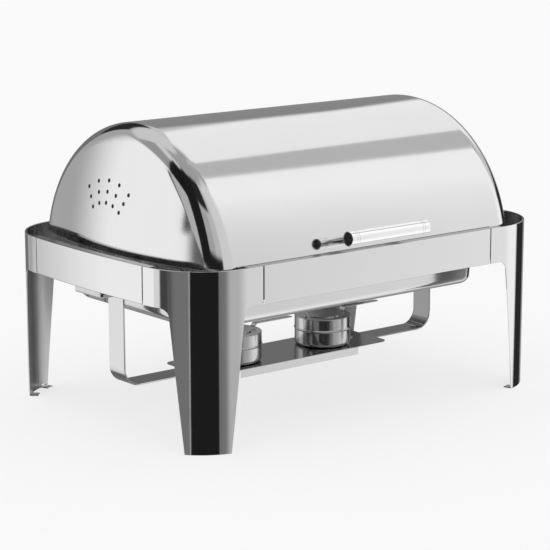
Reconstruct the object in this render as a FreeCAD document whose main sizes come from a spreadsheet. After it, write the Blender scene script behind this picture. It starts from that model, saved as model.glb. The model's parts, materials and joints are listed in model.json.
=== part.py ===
import FreeCAD, Part
import Sketcher
import math
import os
from types import SimpleNamespace

# Roll-top chafing dish for one full-size food pan.  Millimetres, +Z up, +X along the
# length, -Y the handle side.  The floor is z = 0 and the origin is the centre of the
# whole object's footprint.  Pieces are drawn about the middle of the frame, and each
# is then moved back by half of the handle's reach.

DIMENSIONS = {
    # frame
    "half_length": 335.4, "end_bow": 4.3, "half_width": 227.4, "corner_radius": 96.8,
    "rail_top": 247.5, "rail_bottom": 195.8, "panel_gauge": 1.5, "seam_gap": 2.0,
    "seam_front": 209.4, "seam_end": 128.3, "rail_flange": 8.0,
    "skirt_depth": 46.0, "skirt_gauge": 1.2, "lip_width": 12.0, "lip_gauge": 1.2,
    "lip_end_x": 233.4, "lip_end_y": 140.0, "lip_corner": 6.0,
    # legs
    "leg_direction": 57.0, "leg_half_top": 51.0, "leg_half_foot": 31.5,
    "leg_fillet": 12.5, "foot_depth": 12.0, "foot_inner_angle": 10.0,
    "foot_outer_angle": 18.5,
    # roll-top lid
    "pivot_height": 205.4, "lid_radius": 211.0, "lid_apex": 306.3, "dome_radius": 640.0,
    "lid_fillet": 36.0, "lid_gauge": 1.2, "lid_edge": 37.6, "hem_height": 4.4,
    "vent_radius": 2.8, "vent_centre_y": 8.0, "vent_centre_height": 46.0,
    # lid arm, pivot and stops
    "arm_outer_x": 300.4, "arm_gauge": 2.5, "arm_half_width": 13.0, "arm_reach": 74.0,
    "pin_radius": 4.0, "bush_clearance": 0.03, "bush_radius": 5.5,
    "stop_radius": 2.0, "stop_gap": 0.3, "lid_travel": 83.0,
    # end hangers and pan bars
    "hanger_half": 30.0, "hanger_gauge": 2.0, "shelf_top": 188.5, "hanger_rail_x": 336.7,
    "hanger_top": 235.5, "hanger_inner_x": 269.0, "tongue_top": 230.0,
    "pan_bar_half": 120.0, "pan_bar_outer": 277.0, "pan_bar_bottom": 210.0,
    "pivot_plate_x": 307.5, "plate_gauge": 2.5, "plate_top": 232.4, "plate_foot_x": 331.0,
    # fuel stand
    "strap_x": 290.0, "strap_width": 36.4, "strap_gauge": 2.6, "strap_bend": 26.0,
    "strap_low": 51.2, "tray_half_x": 171.6, "tray_half_y": 52.0, "tray_gauge": 1.2,
    "tray_corner": 12.0, "tray_lip_x": 111.5, "tray_lip_drop": 12.5,
    # pans
    "water_half_x": 264.0, "water_half_y": 153.0, "water_flange_x": 275.0,
    "water_flange_y": 166.0, "water_corner": 32.0, "water_bottom": 148.7, "pan_gauge": 1.2,
    "water_rim": 238.4, "food_half_x": 253.5, "food_half_y": 150.0, "food_rim_x": 265.0,
    "food_rim_y": 162.5, "food_depth": 65.0, "food_corner": 28.0, "pan_taper": 3.0,
    # handle
    "handle_radius": 10.4, "handle_half": 72.0, "handle_reach": 20.0, "handle_height": 268.3,
    "handle_wall": 1.6, "handle_post_x": 55.0, "post_radius": 5.0,
    # fuel cups
    "cup_x": 85.3, "cup_radius": 42.0, "cup_height": 43.0, "cup_gauge": 1.0,
    "damper_radius": 27.0, "damper_pivot": 31.0, "damper_tip": 104.0, "damper_half_width": 5.5,
    "damper_gauge": 1.2, "damper_bend": 36.0, "damper_rise": 5.0,
}
d = SimpleNamespace(**DIMENSIONS)
V = FreeCAD.Vector
X_AXIS = V(1, 0, 0)
Y_AXIS = V(0, 1, 0)
Z_AXIS = V(0, 0, 1)

doc = FreeCAD.newDocument("chafing_dish")
sheet = doc.addObject("Spreadsheet::Sheet", "Dim")
for row, (alias, value) in enumerate(DIMENSIONS.items(), start=1):
    sheet.set(f"A{row}", alias)
    sheet.set(f"B{row}", str(value))
    sheet.setAlias(f"B{row}", alias)
doc.recompute()

pieces = {}


# ---------------------------------------------------------------- drawing helpers

def bind(item, prop, formula):
    """Bind a property to the sheet; a bare name stands for one cell of it."""
    item.setExpression(prop, formula if "." in formula else f"Dim.{formula}")


def new_body(label):
    body = doc.addObject("PartDesign::Body", label)
    pieces[label] = body
    return body


def origin_feature(body, role):
    return next(item for item in body.Origin.OriginFeatures if item.Role == role)


def new_sketch(body, role, name, offset=None):
    sketch = body.newObject("Sketcher::SketchObject", f"{body.Name}_{name}")
    sketch.AttachmentSupport = (origin_feature(body, role), [""])
    sketch.MapMode = "FlatFace"
    if offset:
        sketch.AttachmentOffset = offset
    return sketch


def line(sketch, start, end):
    sketch.addGeometry(Part.LineSegment(V(*start, 0), V(*end, 0)))


def arc(sketch, centre, radius, start, end):
    """Counter-clockwise arc between two angles in degrees."""
    circle_curve = Part.Circle(V(*centre, 0), Z_AXIS, radius)
    sketch.addGeometry(Part.ArcOfCircle(circle_curve, math.radians(start), math.radians(end)))


def arc_through(sketch, start, middle, end):
    sketch.addGeometry(Part.ArcOfCircle(V(*start, 0), V(*middle, 0), V(*end, 0)))


def circle(sketch, centre, radius_name):
    """Full circle whose radius is a cell of the sheet."""
    index = sketch.addGeometry(Part.Circle(V(*centre, 0), Z_AXIS, DIMENSIONS[radius_name]))
    constraint = sketch.addConstraint(
        Sketcher.Constraint("Radius", index, DIMENSIONS[radius_name]))
    sketch.setExpression(f"Constraints[{constraint}]", f"Dim.{radius_name}")


def rounded_polygon(sketch, points, radii=None):
    """Closed outline through points; radii maps a point's index to its corner radius."""
    radii = radii or {}
    count = len(points)
    entries, exits = [], []
    for i, point in enumerate(points):
        corner = V(*point, 0)
        before = (V(*points[i - 1], 0) - corner).normalize()
        after = (V(*points[(i + 1) % count], 0) - corner).normalize()
        radius = radii.get(i, 0)
        if not radius:
            entries.append(corner)
            exits.append(corner)
            continue
        half_angle = before.getAngle(after) / 2
        setback = radius / math.tan(half_angle)
        bisector = (before + after).normalize()
        middle = corner + bisector * (radius / math.sin(half_angle) - radius)
        entries.append(corner + before * setback)
        exits.append(corner + after * setback)
        sketch.addGeometry(Part.ArcOfCircle(entries[i], middle, exits[i]))
    for i in range(count):
        sketch.addGeometry(Part.LineSegment(exits[i], entries[(i + 1) % count]))


def rounded_rectangle(sketch, half_x, half_y, radius):
    corners = [(-half_x, -half_y), (half_x, -half_y), (half_x, half_y), (-half_x, half_y)]
    rounded_polygon(sketch, corners, {i: radius for i in range(4)})


def pad(body, sketch, length, symmetric=False, reverse=False, taper=None):
    feature = body.newObject("PartDesign::Pad", sketch.Name + "_pad")
    feature.Profile = sketch
    feature.Reversed = reverse
    if symmetric:
        feature.SideType = "Symmetric"
    bind(feature, "Length", length)
    if taper:
        bind(feature, "TaperAngle", taper)
    return feature


def pocket(body, sketch, symmetric=False, reverse=False):
    """Pocket through everything; it has to take some volume away."""
    doc.recompute()
    volume = body.Shape.Volume
    feature = body.newObject("PartDesign::Pocket", sketch.Name + "_pocket")
    feature.Profile = sketch
    feature.Reversed = reverse
    if symmetric:
        feature.SideType = "Symmetric"
    feature.Type = "ThroughAll"
    doc.recompute()
    if body.Shape.Volume > volume - 1:
        raise RuntimeError(f"{sketch.Name} cuts nothing")
    return feature


def revolve(body, sketch, role):
    feature = body.newObject("PartDesign::Revolution", sketch.Name + "_turn")
    feature.Profile = sketch
    feature.ReferenceAxis = (origin_feature(body, role), [""])
    feature.Angle = 360
    return feature


def raised(height):
    return FreeCAD.Placement(V(0, 0, height), FreeCAD.Rotation())


def along(base, direction):
    """Placement whose local Z points along direction."""
    return FreeCAD.Placement(V(*base), FreeCAD.Rotation(Z_AXIS, V(*direction)))


def cylinder(name, radius, height, base, direction):
    """Round bar from base along direction; its radius is a number or a cell's name."""
    item = doc.addObject("Part::Cylinder", name)
    if isinstance(radius, str):
        bind(item, "Radius", radius)
    else:
        item.Radius = radius
    item.Height = height
    item.Placement = along(base, direction)
    return item


def group(label, items):
    compound = doc.addObject("Part::Compound", label)
    compound.Links = items
    pieces[label] = compound
    return compound


def drill(label, holes):
    """Cut round holes, each (radius, base, direction, length), out of a finished piece."""
    base = pieces[label]
    base.Label = label + "_blank"
    cutters = [cylinder(f"{label}_hole", r, length, start, way)
               for r, start, way, length in holes]
    tool = doc.addObject("Part::Compound", label + "_holes")
    tool.Links = cutters
    result = doc.addObject("Part::Cut", label + "_drilled")
    result.Base = base
    result.Tool = tool
    pieces[label] = result


def hex_nut(name, flats, height, bore, base, direction):
    blank = doc.addObject("Part::Prism", name + "_blank")
    blank.Polygon = 6
    blank.Circumradius = flats / math.sqrt(3)
    blank.Height = height
    blank.Placement = along(base, direction)
    bore_start = V(*base) - V(*direction).normalize()
    tool = cylinder(name + "_bore", bore, height + 2, tuple(bore_start), direction)
    nut = doc.addObject("Part::Cut", name)
    nut.Base = blank
    nut.Tool = tool
    return nut


# ---------------------------------------------------------------- frame outline

CORNER_Y = d.half_width - d.corner_radius
BOW_RADIUS = (CORNER_Y ** 2 + d.end_bow ** 2) / (2 * d.end_bow)
BOW_X = d.half_length + d.end_bow - BOW_RADIUS
CORNER_X = BOW_X + math.sqrt((BOW_RADIUS - d.corner_radius) ** 2 - CORNER_Y ** 2)
BOW_ANGLE = math.degrees(math.atan2(CORNER_Y, CORNER_X - BOW_X))


def frame_outline(sketch, inset):
    """Closed plan of the frame: straight sides, round corners, gently bowed ends."""
    side = d.half_width - inset
    corner = d.corner_radius - inset
    bow = BOW_RADIUS - inset
    arc(sketch, (BOW_X, 0), bow, -BOW_ANGLE, BOW_ANGLE)
    arc(sketch, (CORNER_X, CORNER_Y), corner, BOW_ANGLE, 90)
    line(sketch, (CORNER_X, side), (-CORNER_X, side))
    arc(sketch, (-CORNER_X, CORNER_Y), corner, 90, 180 - BOW_ANGLE)
    arc(sketch, (-BOW_X, 0), bow, 180 - BOW_ANGLE, 180 + BOW_ANGLE)
    arc(sketch, (-CORNER_X, -CORNER_Y), corner, 180 + BOW_ANGLE, 270)
    line(sketch, (-CORNER_X, -side), (CORNER_X, -side))
    arc(sketch, (CORNER_X, -CORNER_Y), corner, 270, 360 - BOW_ANGLE)


def bow_x(y, inset=0.0):
    """Distance of the bowed end from the middle at a given y."""
    return BOW_X + math.sqrt((BOW_RADIUS - inset) ** 2 - y ** 2)


def corner_point(angle, inset=0.0):
    radius = d.corner_radius - inset
    return (CORNER_X + radius * math.cos(math.radians(angle)),
            CORNER_Y + radius * math.sin(math.radians(angle)))


def make_frame_ring():
    """Ring behind the rails and legs, with a lip turned inward along each rail."""
    body = new_body("frame_ring")
    skirt = new_sketch(body, "XY_Plane", "skirt", raised(d.rail_top - d.skirt_depth))
    frame_outline(skirt, d.panel_gauge)
    frame_outline(skirt, d.panel_gauge + d.skirt_gauge)
    pad(body, skirt, "skirt_depth")
    lips = new_sketch(body, "XY_Plane", "lips", raised(d.rail_top - d.lip_gauge))
    face = d.panel_gauge + d.skirt_gauge / 2
    edge = d.panel_gauge + d.lip_width
    for side in (-1, 1):
        bowed_strip(lips, side, -d.lip_end_y, d.lip_end_y, edge, face)
        corners = [(-d.lip_end_x, d.half_width - face), (d.lip_end_x, d.half_width - face),
                   (d.lip_end_x, d.half_width - edge), (-d.lip_end_x, d.half_width - edge)]
        rounded_polygon(lips, [(x, side * y) for x, y in corners],
                        {2: d.lip_corner, 3: d.lip_corner})
    pad(body, lips, "lip_gauge")


def make_long_rail(label, side):
    """Straight front or back rail: a channel with flanges turned inward."""
    body = new_body(label)
    section = new_sketch(body, "YZ_Plane", "section")
    outer = d.half_width
    web = outer - d.panel_gauge
    flange = outer - d.rail_flange
    low = d.rail_bottom
    profile = [(outer, low), (outer, d.rail_top), (web, d.rail_top),
               (web, low + d.panel_gauge), (flange, low + d.panel_gauge), (flange, low)]
    rounded_polygon(section, [(side * y, z) for y, z in profile])
    pad(body, section, "2 * Dim.seam_front - Dim.seam_gap", symmetric=True)


def bowed_strip(sketch, side, start, end, depth, face=0.0):
    """Strip from start to end along Y, between two depths inside the bowed end."""
    def point(y, inset):
        return (side * bow_x(y, inset), y)

    middle = (start + end) / 2
    arc_through(sketch, point(start, face), point(middle, face), point(end, face))
    line(sketch, point(end, face), point(end, depth))
    arc_through(sketch, point(end, depth), point(middle, depth), point(start, depth))
    line(sketch, point(start, depth), point(start, face))


def make_end_rail(label, side):
    """Bowed end rail; its flange is left out where the hanger comes down."""
    body = new_body(label)
    half = d.seam_end - d.seam_gap / 2
    web = new_sketch(body, "XY_Plane", "web", raised(d.rail_bottom))
    bowed_strip(web, side, -half, half, d.panel_gauge)
    pad(body, web, "Dim.rail_top - Dim.rail_bottom")
    flange = new_sketch(body, "XY_Plane", "flange", raised(d.rail_bottom))
    notch = d.hanger_half + 2.0
    bowed_strip(flange, side, -half, -notch, d.rail_flange)
    bowed_strip(flange, side, notch, half, d.rail_flange)
    pad(body, flange, "panel_gauge")


# ---------------------------------------------------------------- legs

def make_leg(label, side_x, side_y):
    """Pressed corner leg: a curved sheet from seam to seam that narrows to the foot."""
    body = new_body(label)

    def flip(point):
        return (side_x * point[0], side_y * point[1])

    def strip(sketch, inset):
        front = (d.seam_front + d.seam_gap / 2, d.half_width - inset)
        tangent = (CORNER_X, d.half_width - inset)
        middle = corner_point((BOW_ANGLE + 90) / 2, inset)
        bow_start = corner_point(BOW_ANGLE, inset)
        end_y = d.seam_end + d.seam_gap / 2
        end = (bow_x(end_y, inset), end_y)
        between_y = (bow_start[1] + end_y) / 2
        between = (bow_x(between_y, inset), between_y)
        line(sketch, flip(front), flip(tangent))
        arc_through(sketch, flip(tangent), flip(middle), flip(bow_start))
        arc_through(sketch, flip(bow_start), flip(between), flip(end))
        return flip(front), flip(end)

    plan = new_sketch(body, "XY_Plane", "plan")
    outer_front, outer_end = strip(plan, 0)
    inner_front, inner_end = strip(plan, d.panel_gauge)
    line(plan, outer_front, inner_front)
    line(plan, outer_end, inner_end)
    pad(body, plan, "rail_top")

    # the side view, seen straight at the corner, trims both edges to the taper
    heading = math.radians(d.leg_direction)
    facing = V(side_x * math.cos(heading), side_y * math.sin(heading), 0)
    across = V(-facing.y, facing.x, 0)
    turn = math.degrees(math.atan2(across.y, across.x))
    middle_u = across.dot(V(side_x * CORNER_X, side_y * CORNER_Y, 0))
    taper = new_sketch(body, "XZ_Plane", "taper",
                       FreeCAD.Placement(V(0, 0, 0), FreeCAD.Rotation(Y_AXIS, turn)))
    reach = 2 * d.corner_radius
    below = 5.0
    slope = (d.leg_half_top - d.leg_half_foot) / d.rail_bottom
    for way in (-1, 1):
        corners = [(reach, -below), (d.leg_half_foot - slope * below, -below),
                   (d.leg_half_top, d.rail_bottom), (reach, d.rail_bottom)]
        rounded_polygon(taper, [(middle_u + way * u, z) for u, z in corners],
                        {2: d.leg_fillet})
    pocket(body, taper, symmetric=True)

    # two small tabs turned in under the foot, one at each edge
    tabs = new_sketch(body, "XY_Plane", "tabs")
    outer = d.corner_radius - d.panel_gauge / 2
    inner = d.corner_radius - d.panel_gauge - d.foot_depth
    centre = V(side_x * CORNER_X, side_y * CORNER_Y, 0)
    middle_angle = math.degrees(math.atan2(facing.y, facing.x))
    for way in (-1, 1):
        first = middle_angle + way * d.foot_inner_angle
        last = middle_angle + way * d.foot_outer_angle
        start, end = min(first, last), max(first, last)
        corners = []
        for radius in (inner, outer):
            arc(tabs, (centre.x, centre.y), radius, start, end)
            corners.append([(centre.x + radius * math.cos(math.radians(a)),
                             centre.y + radius * math.sin(math.radians(a)))
                            for a in (start, end)])
        for inner_end, outer_end in zip(*corners):
            line(tabs, inner_end, outer_end)
    pad(body, tabs, "panel_gauge")


# ---------------------------------------------------------------- end hangers

def make_end(side, name):
    """Hanger, pan bar, pivot plate, spacer, pin and stops of one end."""
    hanger = new_body("hanger_" + name)
    section = new_sketch(hanger, "XZ_Plane", "section")
    shelf_low = d.shelf_top - d.hanger_gauge
    outer, inner, gauge = d.hanger_rail_x, d.hanger_inner_x, d.hanger_gauge
    profile = [(outer, d.hanger_top), (outer, shelf_low), (inner, shelf_low),
               (inner, d.tongue_top), (inner + gauge, d.tongue_top),
               (inner + gauge, d.shelf_top), (outer - gauge, d.shelf_top),
               (outer - gauge, d.hanger_top)]
    rounded_polygon(section, [(side * x, z) for x, z in profile],
                    {1: 3.0, 2: 3.0, 5: 1.0, 6: 1.0})
    pad(hanger, section, "2 * Dim.hanger_half", symmetric=True)

    bar = new_body("pan_bar_" + name)
    angle = new_sketch(bar, "XZ_Plane", "angle")
    bar_high = d.water_rim - d.pan_gauge
    web = inner - gauge
    profile = [(web, d.pan_bar_bottom), (inner, d.pan_bar_bottom), (inner, bar_high - gauge),
               (d.pan_bar_outer, bar_high - gauge), (d.pan_bar_outer, bar_high),
               (web, bar_high)]
    rounded_polygon(angle, [(side * x, z) for x, z in profile])
    pad(bar, angle, "2 * Dim.pan_bar_half", symmetric=True)

    plate = new_body("pivot_plate_" + name)
    angle = new_sketch(plate, "XZ_Plane", "angle")
    plate_inner, plate_outer = d.pivot_plate_x, d.pivot_plate_x + d.plate_gauge
    foot_top = d.shelf_top + d.plate_gauge
    profile = [(plate_inner, d.shelf_top), (d.plate_foot_x, d.shelf_top),
               (d.plate_foot_x, foot_top), (plate_outer, foot_top),
               (plate_outer, d.plate_top), (plate_inner, d.plate_top)]
    rounded_polygon(angle, [(side * x, z) for x, z in profile], {0: 3.0, 3: 1.0})
    pad(plate, angle, "2 * Dim.hanger_half", symmetric=True)

    # the pin's shoulder, head and thread share one axis, across the lid's arm
    inward = (-side, 0, 0)
    head_x, shank_end = 295.6, 319.0
    pin_start = (side * shank_end, 0, d.pivot_height)
    shank = cylinder("pin_shank_" + name, "pin_radius", shank_end - head_x, pin_start, inward)
    head = cylinder("pin_head_" + name, 7.0, 3.0, (side * head_x, 0, d.pivot_height), inward)
    pin = doc.addObject("Part::Fuse", "pivot_pin_" + name)
    pin.Base = shank
    pin.Tool = head
    pieces["pivot_pin_" + name] = pin

    spacer = new_body("pivot_spacer_" + name)
    washer = new_sketch(spacer, "YZ_Plane", "washer")
    washer.addGeometry(Part.Circle(V(0, d.pivot_height, 0), Z_AXIS, 8.0))
    washer.addGeometry(Part.Circle(V(0, d.pivot_height, 0), Z_AXIS, d.pin_radius + 0.05))
    spacer_start = d.arm_outer_x + d.stop_gap
    washer.AttachmentOffset = raised(side * spacer_start)
    pad(spacer, washer, f"Dim.pivot_plate_x - {spacer_start}", reverse=side < 0)
    pieces["pivot_nut_" + name] = hex_nut("pivot_nut_" + name, 13.0, 6.0, d.pin_radius + 0.02,
                                          (side * plate_outer, 0, d.pivot_height),
                                          (side, 0, 0))

    # one stop holds the closed arm's front edge, the other its back edge when open
    reach = 22.0
    beside = d.arm_half_width + d.stop_radius + d.stop_gap
    opened = math.radians(d.lid_travel)
    stops = []
    for y, z in ((-beside, reach),
                 (reach * math.sin(opened) + beside * math.cos(opened),
                  reach * math.cos(opened) - beside * math.sin(opened))):
        start = (side * plate_inner, y, d.pivot_height + z)
        stops.append(cylinder(f"stop_{name}", "stop_radius",
                              plate_inner - d.arm_outer_x + 2.4, start, inward))
    group("lid_stops_" + name, stops)

    drill("pivot_plate_" + name,
          [(d.pin_radius + 0.05, (side * 300, 0, d.pivot_height), (side, 0, 0), 20)]
          + plate_screw_holes(side))
    drill("hanger_" + name, plate_screw_holes(side) + strap_screw_holes(side)
          + bar_rivet_holes(side) + rail_stud_holes(side))
    drill("pan_bar_" + name, bar_rivet_holes(side))


# centres and radii of the fasteners; "leg" and "rail" are the two sides of a seam
PLATE_SCREW_X, PLATE_SCREW_Y = 322.0, 22.0
STRAP_SCREW_X, STRAP_SCREW_Y = 281.0, 9.0
BAR_RIVET_Z, BAR_RIVET_Y = 221.0, 18.0
HANGER_STUD_Z, HANGER_STUD_Y = 218.0, 20.0
STUD_RADIUS, STUD_HOLE = 2.5, 2.7
STUD_Z, STUD_LENGTH, HANGER_STUD_LENGTH = 222.0, 10.0, 12.0
LEG_STUD_X, RAIL_STUD_X, END_STUD_Y, LEG_STUD_ANGLE = 224.0, 180.0, 104.0, 14.0


def plate_screw_holes(side):
    return [(STUD_HOLE, (side * PLATE_SCREW_X, y, d.shelf_top - 6), (0, 0, 1), 12)
            for y in (-PLATE_SCREW_Y, PLATE_SCREW_Y)]


def strap_screw_holes(side):
    return [(STUD_HOLE, (side * STRAP_SCREW_X, y, d.shelf_top - 8), (0, 0, 1), 12)
            for y in (-STRAP_SCREW_Y, STRAP_SCREW_Y)]


def bar_rivet_holes(side):
    return [(2.45, (side * 260, y, BAR_RIVET_Z), (side, 0, 0), 20)
            for y in (-BAR_RIVET_Y, BAR_RIVET_Y)]


def rail_stud_holes(side):
    return [(STUD_HOLE, (side * (bow_x(y) - 8), y, HANGER_STUD_Z), (side, 0, 0),
             8 - d.panel_gauge) for y in (-HANGER_STUD_Y, HANGER_STUD_Y)]


# ---------------------------------------------------------------- fasteners

def panel_studs():
    """(base, inward direction, length, clamped thickness) of each welded stud."""
    studs = []
    long_face = d.half_width - d.panel_gauge
    tilt = math.degrees(math.asin(END_STUD_Y / BOW_RADIUS))
    hanger_x = bow_x(HANGER_STUD_Y, d.panel_gauge)
    for side_x in (-1, 1):
        for side_y in (-1, 1):
            def place(x, y, angle, z=STUD_Z, length=STUD_LENGTH, clamped=d.skirt_gauge):
                turn = math.radians(angle)
                studs.append(((side_x * x, side_y * y, z),
                              (-side_x * math.cos(turn), -side_y * math.sin(turn), 0),
                              length, clamped))

            place(LEG_STUD_X, long_face, 90)
            place(RAIL_STUD_X, long_face, 90)
            place(*corner_point(LEG_STUD_ANGLE, d.panel_gauge), LEG_STUD_ANGLE)
            place(bow_x(END_STUD_Y, d.panel_gauge), END_STUD_Y, tilt)
            place(hanger_x, HANGER_STUD_Y, 0, HANGER_STUD_Z, HANGER_STUD_LENGTH,
                  hanger_x - d.hanger_rail_x + d.hanger_gauge)
    return studs


def make_panel_fasteners():
    studs, nuts, holes = [], [], []
    for number, (base, way, length, clamped) in enumerate(panel_studs()):
        studs.append(cylinder(f"stud_{number}", STUD_RADIUS, length, base, way))
        seat = V(*base) + V(*way) * (clamped + 0.1)
        nuts.append(hex_nut(f"nut_{number}", 8.0, 4.0, STUD_RADIUS + 0.02, tuple(seat), way))
        holes.append((STUD_HOLE, tuple(V(*base) - V(*way)), way, 5.0))
    group("panel_studs", studs)
    group("panel_nuts", nuts)
    drill("frame_ring", holes)


def headed_pin(name, shank_radius, shank_length, head_radius, head_height, base, way):
    """Shank from base along way, with a head behind the base."""
    shank = cylinder(name + "_shank", shank_radius, shank_length, base, way)
    back = tuple(-part for part in way)
    head = cylinder(name + "_head", head_radius, head_height, base, back)
    pin = doc.addObject("Part::Fuse", name)
    pin.Base = shank
    pin.Tool = head
    return pin


def make_hanger_fasteners():
    plate_screws, plate_nuts, strap_screws, strap_nuts, rivets = [], [], [], [], []
    shelf_low = d.shelf_top - d.hanger_gauge
    for side in (-1, 1):
        for way in (-1, 1):
            tag = f"{'left' if side < 0 else 'right'}_{'front' if way < 0 else 'back'}"
            x, y = side * PLATE_SCREW_X, way * PLATE_SCREW_Y
            plate_screws.append(headed_pin("plate_screw_" + tag, STUD_RADIUS, 11.0, 4.5, 2.8,
                                           (x, y, d.shelf_top + d.plate_gauge),
                                           (0, 0, -1)))
            plate_nuts.append(hex_nut("plate_nut_" + tag, 8.0, 4.0, STUD_RADIUS + 0.02,
                                      (x, y, shelf_low), (0, 0, -1)))
            x, y = side * STRAP_SCREW_X, way * STRAP_SCREW_Y
            strap_screws.append(headed_pin("strap_screw_" + tag, STUD_RADIUS, 12.0, 4.5, 2.8,
                                           (x, y, d.shelf_top), (0, 0, -1)))
            strap_nuts.append(hex_nut("strap_nut_" + tag, 8.0, 4.0, STUD_RADIUS + 0.02,
                                      (x, y, shelf_low - d.strap_gauge), (0, 0, -1)))
            y = way * BAR_RIVET_Y
            inner_face = d.hanger_inner_x - d.hanger_gauge
            rivet = headed_pin("bar_rivet_" + tag, 2.4, 2 * d.hanger_gauge + 1.4, 4.2, 1.4,
                               (side * inner_face, y, BAR_RIVET_Z), (side, 0, 0))
            tail = cylinder("bar_rivet_tail_" + tag, 4.0, 1.4,
                            (side * (d.hanger_inner_x + d.hanger_gauge), y, BAR_RIVET_Z),
                            (side, 0, 0))
            closed = doc.addObject("Part::Fuse", "closed_rivet_" + tag)
            closed.Base = rivet
            closed.Tool = tail
            rivets.append(closed)
    group("pivot_plate_screws", plate_screws)
    group("pivot_plate_nuts", plate_nuts)
    group("strap_screws", strap_screws)
    group("strap_nuts", strap_nuts)
    group("pan_bar_rivets", rivets)


# ---------------------------------------------------------------- fuel stand

TRAY_SCREW_X = 140.0


def make_fuel_strap():
    """One flat bar bent into a U, its ends turned in under the two hangers."""
    body = new_body("fuel_strap")
    path = new_sketch(body, "XZ_Plane", "path")
    top = d.shelf_top - d.hanger_gauge
    tab = 18.0
    x, gauge, low, bend = d.strap_x, d.strap_gauge, d.strap_low, d.strap_bend
    outline = [(-x + tab, top), (-x, top), (-x, low), (x, low), (x, top), (x - tab, top),
               (x - tab, top - gauge), (x - gauge, top - gauge), (x - gauge, low + gauge),
               (-x + gauge, low + gauge), (-x + gauge, top - gauge), (-x + tab, top - gauge)]
    rounded_polygon(path, outline, {1: 4.0, 2: bend, 3: bend, 4: 4.0, 7: 1.4,
                                    8: bend - gauge, 9: bend - gauge, 10: 1.4})
    pad(body, path, "strap_width", symmetric=True)
    holes = strap_screw_holes(-1) + strap_screw_holes(1) + tray_rivet_holes()
    drill("fuel_strap", holes)


def tray_rivet_holes():
    return [(2.45, (x, 0, d.strap_low - 5), (0, 0, 1), 14) for x in (-TRAY_SCREW_X, TRAY_SCREW_X)]


def make_fuel_tray():
    """Flat tray on the strap, with a stiffening lip turned down along each long side."""
    body = new_body("fuel_tray")
    seat = d.strap_low + d.strap_gauge
    plan = new_sketch(body, "XY_Plane", "plan", raised(seat))
    rounded_rectangle(plan, d.tray_half_x, d.tray_half_y, d.tray_corner)
    pad(body, plan, "tray_gauge")
    lips = new_sketch(body, "YZ_Plane", "lips")
    top = seat + d.tray_gauge
    for side in (-1, 1):
        outer, inner = d.tray_half_y, d.tray_half_y - d.tray_gauge
        profile = [(outer - 0.4, top), (outer, top - 0.4), (outer, top - d.tray_lip_drop),
                   (inner, top - d.tray_lip_drop), (inner, top)]
        rounded_polygon(lips, [(side * y, z) for y, z in profile])
    pad(body, lips, "2 * Dim.tray_lip_x", symmetric=True)
    drill("fuel_tray", tray_rivet_holes())
    rivets = []
    for number, x in enumerate((-TRAY_SCREW_X, TRAY_SCREW_X)):
        stack = d.strap_gauge + d.tray_gauge
        rivet = headed_pin(f"tray_rivet_{number}", 2.4, stack + 1.2, 4.2, 1.3,
                           (x, 0, top), (0, 0, -1))
        tail = cylinder(f"tray_rivet_tail_{number}", 4.0, 1.2, (x, 0, d.strap_low), (0, 0, -1))
        closed = doc.addObject("Part::Fuse", f"closed_tray_rivet_{number}")
        closed.Base = rivet
        closed.Tool = tail
        rivets.append(closed)
    group("tray_rivets", rivets)


# ---------------------------------------------------------------- pans

def bottom_edges(body, height):
    names = []
    for number, edge in enumerate(body.Shape.Edges, start=1):
        box = edge.BoundBox
        if abs(box.ZMin - height) < 0.01 and abs(box.ZMax - height) < 0.01:
            names.append(f"Edge{number}")
    return names


def fillet_bottom(body, height, radius):
    doc.recompute()
    base, edges = body.Tip, bottom_edges(body, height)
    feature = body.newObject("PartDesign::Fillet", f"{body.Name}_round_{int(radius)}")
    feature.Base = (base, edges)
    feature.Radius = radius
    doc.recompute()


def tapered_block(body, half_x, half_y, corner, top, depth_formula, depth, bottom_radius):
    """Block that narrows downward from its rounded top outline to a rounded bottom."""
    block = new_sketch(body, "XY_Plane", "block", raised(top))
    rounded_rectangle(block, half_x, half_y, corner)
    pad(body, block, depth_formula, reverse=True, taper="-Dim.pan_taper")
    fillet_bottom(body, top - depth, bottom_radius)


def make_pan(label, half_x, half_y, corner, flange_x, flange_y, rim, depth_formula, depth):
    """Open tapered pan with a flat rim turned outward."""
    gauge = d.pan_gauge
    bottom_radius = 14.0
    outer = doc.addObject("PartDesign::Body", label + "_outer")
    tapered_block(outer, half_x, half_y, corner, rim, depth_formula, depth, bottom_radius)
    flange = new_sketch(outer, "XY_Plane", "flange", raised(rim - gauge))
    rounded_rectangle(flange, flange_x, flange_y, corner + flange_x - half_x)
    pad(outer, flange, "pan_gauge")
    hollow = doc.addObject("PartDesign::Body", label + "_hollow")
    tapered_block(hollow, half_x - gauge, half_y - gauge, corner - gauge, rim,
                  f"{depth_formula} - Dim.pan_gauge", depth - gauge, bottom_radius - gauge)
    pan = doc.addObject("Part::Cut", label)
    pan.Base = outer
    pan.Tool = hollow
    pieces[label] = pan


# ---------------------------------------------------------------- lid

DOME_X = d.lid_apex - d.dome_radius
FILLET_R = d.lid_radius - d.lid_fillet
FILLET_X = DOME_X + math.sqrt((d.dome_radius - d.lid_fillet) ** 2 - FILLET_R ** 2)
DOME_ANGLE = math.degrees(math.atan2(FILLET_R, FILLET_X - DOME_X))


def dome_x(radius, inset=0.0):
    """Distance of the domed end from the middle at a given distance from the pivot axis."""
    return DOME_X + math.sqrt((d.dome_radius - inset) ** 2 - radius ** 2)


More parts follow.
